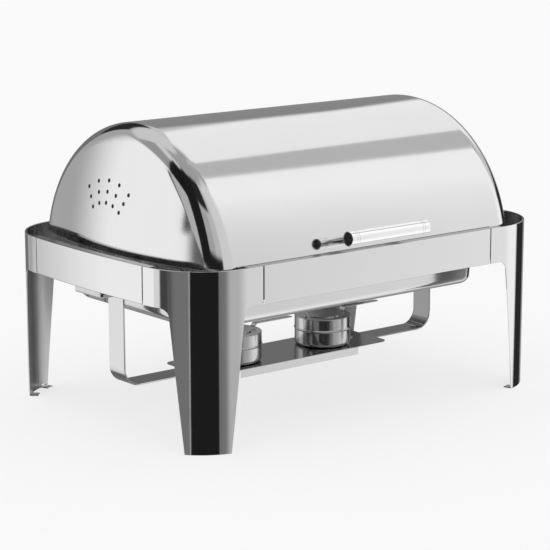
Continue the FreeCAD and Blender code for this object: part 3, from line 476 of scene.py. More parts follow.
CORNER_Y = HALF_WIDTH - CORNER_RADIUS
BOW_RADIUS = (CORNER_Y ** 2 + END_BOW ** 2) / (2 * END_BOW)
BOW_X = APEX_X - BOW_RADIUS
CORNER_X = BOW_X + math.sqrt((BOW_RADIUS - CORNER_RADIUS) ** 2 - CORNER_Y ** 2)
BOW_ANGLE = math.atan2(CORNER_Y, CORNER_X - BOW_X)
BOW_LENGTH = BOW_RADIUS * BOW_ANGLE
ARC_LENGTH = CORNER_RADIUS * (math.pi / 2 - BOW_ANGLE)
QUARTER = BOW_LENGTH + ARC_LENGTH + CORNER_X


def quarter_outline(s):
    """Points and normals of one quarter of the frame, from its end round to its long side."""
    s = np.asarray(s, float)
    bow = s / BOW_RADIUS
    turn = BOW_ANGLE + (s - BOW_LENGTH) / CORNER_RADIUS
    straight = CORNER_X - (s - BOW_LENGTH - ARC_LENGTH)
    on_bow, on_side = s < BOW_LENGTH, s > BOW_LENGTH + ARC_LENGTH
    angle = np.where(on_bow, bow, np.where(on_side, math.pi / 2, turn))
    normal = np.stack([np.cos(angle), np.sin(angle)], -1)
    x = np.where(on_bow, BOW_X + BOW_RADIUS * np.cos(bow),
                 np.where(on_side, straight, CORNER_X + CORNER_RADIUS * np.cos(turn)))
    y = np.where(on_bow, BOW_RADIUS * np.sin(bow),
                 np.where(on_side, HALF_WIDTH, CORNER_Y + CORNER_RADIUS * np.sin(turn)))
    return np.stack([x, y], -1), normal


def frame_path():
    """Closed path round the whole frame."""
    quarter = np.concatenate([np.linspace(0, BOW_LENGTH, 24),
                              np.linspace(BOW_LENGTH, BOW_LENGTH + ARC_LENGTH, 40)[1:],
                              np.linspace(BOW_LENGTH + ARC_LENGTH, QUARTER, 8)[1:]])
    points, normals = quarter_outline(quarter)
    path, out = [], []
    for side in QUADRANTS:
        step = side[0] * side[1]
        path.append((points * side)[::step][:-1])
        out.append((normals * side)[::step][:-1])
    return np.concatenate(path), np.concatenate(out)


def side_path(side, half_x, half_y=HALF_WIDTH, steps=12):
    """Path along a long side, as far as half_x on each side of the middle."""
    path = np.stack([np.linspace(-half_x, half_x, steps), np.full(steps, side * half_y)], -1)
    return path, np.tile([0, side], (steps, 1))


def end_path(side, half, steps=61):
    """Path along a bowed end, as far as half on each side of the middle."""
    turn = BOW_RADIUS * math.asin(half / BOW_RADIUS)
    run = np.linspace(-turn, turn, steps)
    path, out = quarter_outline(np.abs(run))
    mirror = np.stack([np.full(steps, side), np.sign(run)], -1)
    return path * mirror, out * mirror


# -------- frame

SKIRT_GAUGE, LIP_WIDTH, LIP_END_X, LIP_END_Y = 0.0012, 0.012, 0.2334, 0.140
EDGE_ROUND, LIP_ROUND = 0.0004, 0.0005


def make_frame_ring():
    """Skirt behind the rails and legs, with a lip turned inward along each rail."""
    low, high = box("frame_ring")
    skin = Skin()
    inner = GAUGE + SKIRT_GAUGE
    section = rounded([(GAUGE, low[2]), (inner, low[2]), (inner, high[2]), (GAUGE, high[2])],
                      default=EDGE_ROUND)
    sweep(skin, *frame_path(), section, closed=True)
    edge = GAUGE + LIP_WIDTH
    start = GAUGE + SKIRT_GAUGE / 2
    under = high[2] - SKIRT_GAUGE
    lip = rounded([(start, under), (edge, under), (edge, high[2]), (start, high[2])],
                  {1: LIP_ROUND, 2: LIP_ROUND})
    for side in (-1, 1):
        sweep(skin, *end_path(side, LIP_END_Y), lip)
        sweep(skin, *side_path(side, LIP_END_X), lip)
    # the ring in its darker steel: painted shade
    skin.build("ring", "inner_steel", "frame", ["frame_ring"], ring_shaded_steel)


RAIL_FLANGE, RAIL_FOLD, RAIL_TOP_ROUND = 0.008, 0.0014, 0.0006


def make_rails():
    """Four rails that stand on a flange folded inward."""
    low, top = RAIL_BOTTOM, RAIL_TOP
    section = rounded([(0, low), (RAIL_FLANGE, low), (RAIL_FLANGE, low + GAUGE),
                       (GAUGE, low + GAUGE), (GAUGE, top), (0, top)],
                      {0: RAIL_FOLD, 5: RAIL_TOP_ROUND}, default=EDGE_ROUND)
    runs = {"rail_front": side_path(-1, SEAM_X), "rail_back": side_path(1, SEAM_X),
            "rail_left": end_path(-1, SEAM_Y), "rail_right": end_path(1, SEAM_Y)}
    for name, (path, out) in runs.items():
        skin = Skin()
        sweep(skin, path, out, section)
        skin.build(name + "_panel", "polished_steel", "frame", [name])


LEG_DIRECTION = math.radians(57)
LEG_HALF_TOP, LEG_HALF_FOOT, LEG_FILLET, LEG_REACH = 0.051, 0.0315, 0.0125, 0.03
FOOT_DEPTH, FOOT_INNER, FOOT_OUTER = 0.012, math.radians(10), math.radians(18.5)
FOOT_ROOT, FOOT_ROUND, FOOT_BEND = 0.006, 0.0006, 0.0030


def make_leg(name, side_x, side_y):
    """Curved sheet from seam to seam that narrows to the foot."""
    mirror = np.array([side_x, side_y])

    def place(uv, depth):
        points, normals = quarter_outline(uv[:, 0])
        flat = (points - normals * depth) * mirror + MIDDLE
        lean = normals * mirror
        return (np.column_stack([flat, uv[:, 1]]),
                np.column_stack([lean, np.zeros(len(uv))]))

    # distance across the leg, seen straight at the corner, against distance along the sheet
    along = np.linspace(0, QUARTER, 2000)
    across_way = np.array([-math.sin(LEG_DIRECTION), math.cos(LEG_DIRECTION)])
    across = (quarter_outline(along)[0] - (CORNER_X, CORNER_Y)) @ across_way
    first = BOW_RADIUS * math.asin((SEAM_Y + SEAM_GAP) / BOW_RADIUS)
    last = QUARTER - SEAM_X - SEAM_GAP
    side = []
    for way in (1, -1):
        reach = way * (LEG_HALF_TOP + LEG_REACH)
        curve = rounded([(way * LEG_HALF_FOOT, 0), (way * LEG_HALF_TOP, RAIL_BOTTOM),
                         (reach, RAIL_BOTTOM)], {1: LEG_FILLET}, steps=14)
        side.append([(np.interp(u, across, along), z) for u, z in curve[:-1]])
    loop = side[0] + [(last, RAIL_BOTTOM), (last, RAIL_TOP), (first, RAIL_TOP),
                      (first, RAIL_BOTTOM)] + side[1][::-1]
    skin = Skin()
    sheet(skin, [divided(loop, 0.004)], place, GAUGE, (0.003, 0.02))

    # two tabs turned in under the foot
    corner = np.array([CORNER_X, CORNER_Y])
    inner = GAUGE + FOOT_DEPTH
    section = rounded([(GAUGE / 2, 0), (inner, 0), (inner, GAUGE), (GAUGE, GAUGE),
                       (GAUGE, FOOT_ROOT), (GAUGE / 2, FOOT_ROOT)],
                      {1: FOOT_ROUND, 2: FOOT_ROUND, 3: FOOT_BEND})
    for way in (-1, 1):
        angles = LEG_DIRECTION + way * np.linspace(FOOT_INNER, FOOT_OUTER, 8)
        out = np.stack([np.cos(angles), np.sin(angles)], -1)
        path = (corner + out * CORNER_RADIUS) * mirror
        sweep(skin, path, out * mirror, section)
    # inner faces in darker steel: painted shade
    skin.build(name + "_panel", "polished_steel", "frame", [name], inner=leg_inner_shaded_steel)


# -------- lid

LID_TOP = box("lid_shell")[1][2]
PIVOT_Z = next(j["pos_m"][2] for j in frame["joints"] if j["name"] == "lid_roll")
LID_RADIUS = LID_TOP - PIVOT_Z
DOME_RADIUS, LID_FILLET, LID_GAUGE = 0.640, 0.036, 0.0012
LID_EDGE, HEM_HEIGHT = 0.0376, 0.0044
LID_APEX = 0.3063
DOME_X = LID_APEX - DOME_RADIUS
FILLET_R = LID_RADIUS - LID_FILLET
FILLET_X = DOME_X + math.sqrt((DOME_RADIUS - LID_FILLET) ** 2 - FILLET_R ** 2)
DOME_ANGLE = math.atan2(FILLET_R, FILLET_X - DOME_X)
ARCH_STEPS, DOME_STEPS = 120, 48
VENT_RADIUS, VENT_BEVEL, VENT_RINGS = 0.0028, 0.00012, (0.058, 0.0732, 0.0885)
VENT_CENTRE, VENT_STEP = (0.008, 0.046), math.radians(16.4)
HEM_OUTER_ROUND, HEM_INNER_ROUND = 0.0006, 0.0004


def lid_stations():
    """(x, radius) centre of curvature and normal angle along the lid, end to end."""
    turns = np.linspace(DOME_ANGLE, math.pi / 2, 22)
    right = [(FILLET_X, FILLET_R, a) for a in turns]
    barrel = [(x, FILLET_R, math.pi / 2) for x in np.linspace(FILLET_X, -FILLET_X, 10)[1:-1]]
    left = [(-FILLET_X, FILLET_R, math.pi - a) for a in turns[::-1]]
    return right + barrel + left


def lid_point(station, inset, angle):
    """Point and normal on the lid's skin at a station and an angle round the pivot."""
    x, r, lean = station
    radius = r + (LID_FILLET - inset) * math.sin(lean)
    along = x + (LID_FILLET - inset) * math.cos(lean)
    cos, sin = np.cos(angle), np.sin(angle)
    ones = np.ones_like(cos)
    point = np.stack([along * ones, CENTRE_Y + radius * cos, PIVOT_Z + radius * sin], -1)
    normal = np.stack([math.cos(lean) * ones, math.sin(lean) * cos, math.sin(lean) * sin], -1)
    return point, normal


def station_start(station, inset, height):
    """Angle at which a station meets a level a given height above the pivot."""
    _, r, lean = station
    return math.asin(height / (r + (LID_FILLET - inset) * math.sin(lean)))


def dome_place(side):
    """place() of a domed end: (y, z) from the pivot line and an inset from the outer face."""
    def place(yz, inset):
        distance = np.hypot(yz[:, 0], yz[:, 1])
        radius = DOME_RADIUS - inset
        along = np.sqrt(radius ** 2 - distance ** 2)
        points = np.stack([side * (DOME_X + along), CENTRE_Y + yz[:, 0], PIVOT_Z + yz[:, 1]], -1)
        normals = np.stack([side * along, yz[:, 0], yz[:, 1]], -1) / radius
        return points, normals
    return place


def dome_border(inset, height):
    """Half width of the domed end at a height, where it meets the round edge."""
    return math.sqrt(((DOME_RADIUS - inset) * math.sin(DOME_ANGLE)) ** 2 - height ** 2)


def lid_edge_ring(inset, height):
    """The lid's skin cut level all round: points and skin normals."""
    parts = []
    fractions = np.linspace(-1, 1, DOME_STEPS + 1)
    for side in (1, -1):
        width = fractions * dome_border(inset, height) * side
        yz = np.stack([width, np.full_like(width, height)], -1)
        parts.append([a[:-1] for a in dome_place(side)(yz, inset)])
        for station in lid_stations()[::side][:-1]:
            start = station_start(station, inset, height)
            angle = start if side > 0 else math.pi - start
            parts.append([a[None] for a in lid_point(station, inset, np.array(angle))])
    return [np.concatenate(values) for values in zip(*parts)]


def level_rim(edge, leans):
    """Rows round the lid's lower edge, one for each (inset, height) and its (side, up) lean."""
    rows, row_normals = [], []
    for (inset, height), (side, up) in zip(edge, leans):
        points, normals = lid_edge_ring(inset, height)
        rows.append(points)
        row_normals.append(unit(-side * normals + np.array([0, 0, up])))
    return np.array(rows), np.array(row_normals)


def add_lid_face(skin, vents, bottom, inset, level):
    """One face of the lid's sheet: the arch, then the two domed ends with their vent holes."""
    stations = lid_stations()
    rows, row_normals = [], []
    for station in stations:
        start = station_start(station, inset, bottom)
        points, normals = lid_point(station, inset,
                                    np.linspace(start, math.pi - start, ARCH_STEPS + 1))
        rows.append(points)
        row_normals.append(normals * level)
    skin.grid(np.array(rows), np.array(row_normals))
    half = dome_border(inset, bottom)
    start = station_start(stations[0], inset, bottom)
    radius = (DOME_RADIUS - inset) * math.sin(DOME_ANGLE)
    loop = [(half * t, bottom) for t in np.linspace(-1, 1, DOME_STEPS + 1)[:-1]]
    loop += arc(0, radius, start, math.pi - start, ARCH_STEPS + 1)[:-1]
    holes = [round_hole(centre, VENT_RADIUS + VENT_BEVEL) for centre in vents]
    flat, triangles = fill([loop] + holes, (0.008, 0.008))
    for side in (-1, 1):
        points, normals = dome_place(side)(flat, inset)
        skin.add(points, triangles, normals * level)


def add_vent_wall(skin, centre, place):
    """Wall of one vent hole through the sheet, bevelled at both faces."""
    wide = np.array(round_hole(centre, VENT_RADIUS + VENT_BEVEL))
    hole = np.array(round_hole(centre, VENT_RADIUS))
    inward = unit(np.array(centre) - hole)
    across = np.column_stack([np.zeros(len(hole)), inward])
    rows, row_normals = [], []
    for yz, inset, level in ((wide, 0, 1), (hole, VENT_BEVEL, 0),
                             (hole, LID_GAUGE - VENT_BEVEL, 0), (wide, LID_GAUGE, -1)):
        points, normals = place(yz, inset)
        rows.append(points)
        row_normals.append(normals * level if level else across)
    skin.grid(np.array(rows), np.array(row_normals), around=True)


def make_lid():
    """One deep-drawn sheet, and the hem folded up inside its lower edge."""
    skin = Skin()
    bottom = LID_EDGE + BEVEL
    vents = [(VENT_CENTRE[0] + ring * math.sin(step * VENT_STEP),
              VENT_CENTRE[1] + ring * math.cos(step * VENT_STEP))
             for ring in VENT_RINGS for step in range(-2, 3)]
    for inset, level in ((0, 1), (LID_GAUGE, -1)):
        skin.side = 0 if level > 0 else 1
        add_lid_face(skin, vents, bottom, inset, level)
    for side in (-1, 1):
        for centre in vents:
            add_vent_wall(skin, centre, dome_place(side))
    skin.side = 0
    edge = [(0, bottom), (BEVEL, LID_EDGE), (LID_GAUGE - BEVEL, LID_EDGE), (LID_GAUGE, bottom)]
    leans = [(-1, 0), (-0.4, -0.9), (0.4, -0.9), (1, 0)]
    skin.grid(*level_rim(edge, leans), around=True)
    # the lid's inner face in dark steel: painted shade
    skin.build("lid", "polished_steel", "lid", ["lid_shell"], lid_steel, lid_inner_shaded_steel)

    hem = Skin()
    hem_top = LID_EDGE + HEM_HEIGHT
    section = rounded([(LID_GAUGE, LID_EDGE), (2 * LID_GAUGE, LID_EDGE),
                       (2 * LID_GAUGE, hem_top), (LID_GAUGE, hem_top)],
                      {1: HEM_OUTER_ROUND, 2: HEM_INNER_ROUND})
    edge, leans, _ = edge_loop(section)
    hem.grid(*level_rim(edge, leans), around=True, closed=True)
    hem.build("lid_folded_hem", "inner_steel", "lid", ["lid_hem"])


# -------- handle

HANDLE_LOW, HANDLE_HIGH = box("handle_tube")
HANDLE_MIDDLE = (HANDLE_LOW + HANDLE_HIGH) / 2
HANDLE_HALF = HANDLE_HIGH[0]
HANDLE_RADIUS, HANDLE_WALL = 0.0104, 0.0016
TUBE_ROUND, TUBE_INNER_ROUND = 0.0008, 0.0004
GROOVES, GROOVE_WIDTH, GROOVE_DEPTH, GROOVE_SLOPE = (0.010, 0.014), 0.0008, 0.0005, 0.0001
CAP_RECESS, CAP_SEAT, CAP_PLAY, CAP_EDGE = 0.0006, 0.009, 0.00002, 0.0003
CAP_RIM, CAP_DISH, CAP_POINT, CAP_POINT_DEPTH = 0.0012, 0.002, 0.003, 0.0028


def make_handle():
    """Grip tube with two turned grooves near each end, and the caps set into it."""
    inner = HANDLE_RADIUS - HANDLE_WALL
    half = []
    for offset in sorted(GROOVES, reverse=True):
        x = HANDLE_HALF - offset
        half += [(HANDLE_RADIUS, x), (HANDLE_RADIUS - GROOVE_DEPTH, x + GROOVE_SLOPE),
                 (HANDLE_RADIUS - GROOVE_DEPTH, x + GROOVE_WIDTH - GROOVE_SLOPE),
                 (HANDLE_RADIUS, x + GROOVE_WIDTH)]
    half.append((HANDLE_RADIUS, HANDLE_HALF))
    profile = [(r, -x) for r, x in reversed(half)] + half
    profile += [(inner, HANDLE_HALF), (inner, -HANDLE_HALF)]
    last = len(half) * 2
    radii = {0: TUBE_ROUND, last - 1: TUBE_ROUND,
             last: TUBE_INNER_ROUND, last + 1: TUBE_INNER_ROUND}
    skin = Skin()
    lathe(skin, rounded(profile, radii), HANDLE_MIDDLE, "X")
    # the grip in brighter steel: painted highlight
    skin.build("grip", "polished_steel", "lid", ["handle_tube"], grip_highlight_steel)
    end, seat, fit = HANDLE_HALF - CAP_RECESS, HANDLE_HALF - CAP_SEAT, inner - CAP_PLAY
    floor = end - CAP_DISH
    for name, side in (("handle_cap_left", -1), ("handle_cap_right", 1)):
        skin = Skin()
        profile = rounded([(0, side * seat), (fit, side * seat), (fit, side * end),
                           (fit - CAP_RIM, side * end), (fit - CAP_DISH, side * floor),
                           (CAP_POINT, side * floor), (0, side * (end - CAP_POINT_DEPTH))],
                          {2: CAP_EDGE, 3: CAP_EDGE, 4: 2 * CAP_EDGE, 5: 4 * CAP_EDGE})
        if side < 0:
            profile = profile[::-1]
        lathe(skin, profile, HANDLE_MIDDLE, "X", 48)
        skin.build(name + "_plug", "cap_black", "lid", [name])


# -------- pans

def rounded_path(half_x, half_y, corner, steps=14):
    """Counter-clockwise rounded rectangle with its outward normals."""
    path, out = [], []
    for quarter, (sx, sy) in enumerate(QUADRANTS):
        for k in range(steps + 1):
            a = (quarter + k / steps) * math.pi / 2
            way = np.array([math.cos(a), math.sin(a)])
            path.append(np.array([sx * (half_x - corner), sy * (half_y - corner)]) + corner * way)
            out.append(way)
    return np.array(path), np.array(out)


PAN_GAUGE, PAN_TAPER, PAN_ROUND, PAN_FLANGE = 0.0012, math.radians(3), 0.014, 0.0118
PAN_SHOULDER, PAN_INNER_SHOULDER, ROLL_GAUGE = 0.003, 0.0042, 0.0009


def make_pan(name, corner, drop):
    """Tapered pan with a rounded bottom and a flat rim that ends in an edge turned down."""
    low, high = box(name)
    rim, bottom = high[2], low[2]
    depth = rim - bottom
    lean = math.tan(PAN_TAPER)
    wall = PAN_FLANGE + depth * lean
    inner_wall = PAN_FLANGE + PAN_GAUGE + depth * lean
    middle_inset = wall + PAN_ROUND * 1.3
    outer = rounded([(middle_inset, bottom), (wall, bottom),
                     (PAN_FLANGE, rim - PAN_GAUGE), (0, rim - PAN_GAUGE)],
                    {1: PAN_ROUND, 2: PAN_SHOULDER}, steps=10)
    inner = rounded([(0, rim), (PAN_FLANGE + PAN_GAUGE, rim),
                     (inner_wall, bottom + PAN_GAUGE), (middle_inset, bottom + PAN_GAUGE)],
                    {1: PAN_INNER_SHOULDER, 2: PAN_ROUND - PAN_GAUGE}, steps=10)
    section = outer[:-1]
    section += [np.array(p) for p in ((ROLL_GAUGE, rim - PAN_GAUGE), (ROLL_GAUGE, rim - drop),
                                      (0.0, rim - drop))]
    section += rounded([(0, rim - drop), (0, rim), (PAN_FLANGE, rim)], {1: ROLL_GAUGE})[1:-1]
    section += inner[1:]
    edge, out, _ = edge_loop(section, closed=False)
    path, way = rounded_path(*(high - low)[:2] / 2, corner)
    points, normals = carry(path, way, edge, out, (low + high)[:2] / 2)
    skin = Skin()
    skin.grid(points, normals, closed=True)
    for column, up in ((0, -1), (-1, 1)):
        floor = points[:, column]
        skin.add(floor, [list(range(len(path)))], np.tile([0, 0, up], (len(path), 1)))
    skin.build(name + "_pressing", "pan_steel", name, [name])


# -------- fuel stand

STRAP_LOW, STRAP_HIGH = box("fuel_strap")
STRAP_GAUGE, STRAP_BEND, STRAP_TAB = 0.0026, 0.026, 0.018
TAB_BEND, TAB_INNER_BEND, STRAP_BEVEL = 0.004, 0.0014, 0.0005


def make_strap():
    """Flat bar bent into a U whose two tabs turn inward; its inner faces have side 1."""
    x, gauge = STRAP_HIGH[0], STRAP_GAUGE
    low, top = STRAP_LOW[2], STRAP_HIGH[2]
    half = (STRAP_HIGH[1] - STRAP_LOW[1]) / 2
    outline = [(-x, low), (x, low), (x, top), (x - STRAP_TAB, top),
               (x - STRAP_TAB, top - gauge), (x - gauge, top - gauge), (x - gauge, low + gauge),
               (-x + gauge, low + gauge), (-x + gauge, top - gauge),
               (-x + STRAP_TAB, top - gauge), (-x + STRAP_TAB, top), (-x, top)]
    radii = {0: STRAP_BEND, 1: STRAP_BEND, 2: TAB_BEND, 11: TAB_BEND,
             6: STRAP_BEND - gauge, 7: STRAP_BEND - gauge, 5: TAB_INNER_BEND, 8: TAB_INNER_BEND}
    loop = rounded(outline, radii, steps=20)
    skin = Skin()
    place = flat_plate((0, CENTRE_Y - half, 0), (1, 0, 0), (0, 0, 1))
    sheet(skin, [loop], place, 2 * half, (0.05, 0.05), bevel=STRAP_BEVEL)
    # the faces inside the U, picked here, take the darker steel: painted shade
    points = np.concatenate(skin.points)
    middles = np.array([points[face].mean(axis=0) for face in skin.faces])
    past_middle = 0.6 * gauge
    inner = (np.abs(middles[:, 0]) < x - past_middle) & (middles[:, 2] > low + past_middle)
    skin.sides = inner.astype(int).tolist()
    skin.build("strap", "stand_steel", "frame", ["fuel_strap"], inner=strap_inner_shaded_steel)


TRAY_LOW, TRAY_HIGH = box("fuel_tray")
TRAY_GAUGE, TRAY_CORNER, TRAY_LIP_HALF, TRAY_LIP_ROOT = 0.0012, 0.012, 0.1115, 0.004
LIP_STEP, LIP_BEND, LIP_INNER_BEND = 0.0002, 0.0014, 0.0008


def make_tray():
    """Flat plate with a lip turned down along the middle of each long side."""
    half_x, half_y = TRAY_HIGH[0], (TRAY_HIGH[1] - TRAY_LOW[1]) / 2
    top, bottom = TRAY_HIGH[2], TRAY_LOW[2]
    skin = Skin()
    loop = rounded([(-half_x, -half_y), (half_x, -half_y), (half_x, half_y), (-half_x, half_y)],
                   default=TRAY_CORNER, steps=10)
    plate = flat_plate((0, CENTRE_Y, top), (1, 0, 0), (0, 1, 0))
    sheet(skin, [divided(loop, 0.03)], plate, TRAY_GAUGE, (0.04, 0.04))
    under, lip_top = top - TRAY_GAUGE, top - LIP_STEP
    section = rounded([(0, bottom), (TRAY_GAUGE, bottom), (TRAY_GAUGE, under),
                       (TRAY_LIP_ROOT, under), (TRAY_LIP_ROOT, lip_top), (0, lip_top)],
                      {0: EDGE_ROUND, 1: EDGE_ROUND, 2: LIP_INNER_BEND, 5: LIP_BEND})
    skin.side = 1
    for side in (-1, 1):
        sweep(skin, *side_path(side, TRAY_LIP_HALF, half_y, 6), section)
    # top face in darker steel, painted shade under the pans; the underside and lips keep the stand's steel
    skin.build("tray", "stand_steel", "frame", ["fuel_tray"], tray_top_shaded_steel,
               finish["stand_steel"])


# -------- fuel cups

CUP_GAUGE, CUP_ROUND, CUP_INNER_ROUND = 0.001, 0.006, 0.005
BEAD_HEIGHT, BEAD_REACH, BEAD_HALF = 0.0255, 0.0012, 0.0018
BEAD_ROOT_ROUND, BEAD_ROUND = 0.0006, 0.0007
FLAME_RADIUS, COVER_PLAY, COVER_UNDER_ROUND, COVER_ROUND = 0.021, 0.0001, 0.0003, 0.0005
DAMPER_RADIUS, DAMPER_PIVOT, DAMPER_HALF, DAMPER_GAUGE = 0.027, 0.031, 0.0055, 0.0012
DAMPER_BEND, DAMPER_RISE, DAMPER_BEVEL, RIVET_HOLE = 0.036, 0.005, 0.0003, 0.00205


def cup_sizes(name):
    """Middle of the cup's bottom, its radius beside the bead, and its height."""
    low, high = box("fuel_cup_" + name)
    centre_x, centre_y = (low + high)[:2] / 2
    radius = (high[0] - low[0]) / 2 - BEAD_REACH
    return (centre_x, centre_y, low[2]), radius, high[2] - low[2]


def make_cup(name):
    """Open cup with a bead pressed out round it."""
    origin, radius, height = cup_sizes(name)
    body = "fuel_cup_" + name
    profile = [(0, 0), (radius, 0), (radius, BEAD_HEIGHT - BEAD_HALF),
               (radius + BEAD_REACH, BEAD_HEIGHT), (radius, BEAD_HEIGHT + BEAD_HALF),
               (radius, height), (radius - CUP_GAUGE, height),
               (radius - CUP_GAUGE, CUP_GAUGE), (0, CUP_GAUGE)]
    radii = {1: CUP_ROUND, 2: BEAD_ROOT_ROUND, 3: BEAD_ROUND, 4: BEAD_ROOT_ROUND,
             5: EDGE_ROUND, 6: EDGE_ROUND, 7: CUP_INNER_ROUND}
    skin = Skin()
    lathe(skin, rounded(profile, radii, steps=5), origin)
    skin.build("cup_" + name, "cup_steel", body, [body])


def make_cover(name):
    """Ring over the cup, with a collar that reaches down inside it."""
    origin, radius, height = cup_sizes(name)
    low, high = box("cup_cover_" + name)
    reach = (high[0] - low[0]) / 2
    collar = radius - CUP_GAUGE - COVER_PLAY
    bottom, top = low[2] - origin[2], high[2] - origin[2]
    profile = [(FLAME_RADIUS, height), (collar - CUP_GAUGE, height),
               (collar - CUP_GAUGE, bottom), (collar, bottom),
               (collar, height), (reach, height), (reach, top), (FLAME_RADIUS, top)]
    radii = {0: COVER_UNDER_ROUND, 5: COVER_UNDER_ROUND, 6: COVER_ROUND, 7: COVER_UNDER_ROUND}
    skin = Skin()
    lathe(skin, rounded(profile, radii), origin)
    skin.build("cover_" + name, "cup_steel", "fuel_cup_" + name, ["cup_cover_" + name])


def make_damper(name):
    """Disc with a rivet ear on one side and a lever on the other, cut from one sheet."""
    centre_x, centre_y = cup_sizes(name)[0][:2]
    low, high = box("damper_" + name)
    tip = high[0] - DAMPER_HALF - centre_x
    meet = math.asin(DAMPER_HALF / DAMPER_RADIUS)
    loop = arc(-DAMPER_PIVOT, DAMPER_HALF, math.pi / 2, 3 * math.pi / 2, 14)
    loop += arc(0, DAMPER_RADIUS, math.pi + meet, 2 * math.pi - meet, 30)
    loop += arc(tip, DAMPER_HALF, -math.pi / 2, math.pi / 2, 14)
    loop += arc(0, DAMPER_RADIUS, meet, math.pi - meet, 30)
    hole = round_hole((-DAMPER_PIVOT, 0), RIVET_HOLE, 16)
    level_top = low[2] + DAMPER_GAUGE

    def place(uv, depth):
        """Flat over the cup, then a smooth step up along the lever."""
        t = np.clip((uv[:, 0] - DAMPER_BEND) / DAMPER_RISE, 0, 1)
        slope = 6 * t * (1 - t)
        normals = unit(np.stack([-slope, np.zeros(len(uv)), np.ones(len(uv))], -1))
        top = np.column_stack([centre_x + uv[:, 0], centre_y + uv[:, 1],
                               level_top + DAMPER_RISE * t * t * (3 - 2 * t)])
        return top - normals * depth, normals

    skin = Skin()
    sheet(skin, [divided(loop, 0.001), hole], place, DAMPER_GAUGE, (0.001, 0.003),
          bevel=DAMPER_BEVEL)
    skin.build("damper_plate_" + name, "cup_steel", "damper_" + name, ["damper_" + name])


# -------- assembly

make_frame_ring()
make_rails()
for leg, sx, sy in (("leg_front_left", -1, -1), ("leg_front_right", 1, -1),
                    ("leg_back_left", -1, 1), ("leg_back_right", 1, 1)):
    make_leg(leg, sx, sy)
make_lid()
make_handle()
make_pan("water_pan", corner=0.043, drop=0.003)
make_pan("food_pan", corner=0.0395, drop=0.0012)
make_strap()
make_tray()
for cup in ("left", "right"):
    make_cup(cup)
    make_cover(cup)
    make_damper(cup)

# the other CAD nodes keep their shape and take their slot's finish
slot_of = {part["node"]: part["material_slot"] for part in frame["record"]["subparts"]}
for name, node in nodes.items():
    node.data.materials.clear()
    node.data.materials.append(finish.get(slot_of.get(name), finish["fastener_steel"]))


# -------- floor, light and camera

DISPLAY_GAMMA = 2.2
FLOOR_REACH, FLOOR_GRAIN, FLOOR_DARK, FLOOR_PALE, FLOOR_GLOW = 30.0, 40.0, 0.225, 0.235, 0.72


def level(display):
    """Linear light that polished steel mirrors at a display brightness from 0 to 1."""
    return display ** DISPLAY_GAMMA / STEEL_TONE


def make_floor():
    """Pale floor, mostly glowing, so that the object leaves only a faint shadow on it."""
    mesh = bpy.data.meshes.new("floor")
    corners = [(FLOOR_REACH * x, FLOOR_REACH * y, 0) for x, y in QUADRANTS]
    mesh.from_pydata(corners, [], [(0, 1, 2, 3)])
    floor = new_object("floor", mesh)
    material, tree, shader, place = new_material("floor paint")
    grain = noise(tree, place, FLOOR_GRAIN, 2.0)
    tree.links.new(tint(tree, grain, (FLOOR_DARK,) * 3, (FLOOR_PALE,) * 3),
                   shader.inputs["Base Color"])
    shader.inputs["Emission Color"].default_value = (1, 1, 1, 1)
    shader.inputs["Emission Strength"].default_value = FLOOR_GLOW
    shader.inputs["Roughness"].default_value = 1.0
    shader.inputs["Specular IOR Level"].default_value = 0.0
    mesh.materials.append(material)
    floor.visible_glossy = False


FLOOR_LIGHT = 1.07  # for diffuse rays
BACKGROUND = 0.95  # for the camera
BASE_BRIGHTNESS = 0.74  # of the studio between its cards
SEAM_FROM = 150  # a card that ends past this azimuth may cross the seam at 180

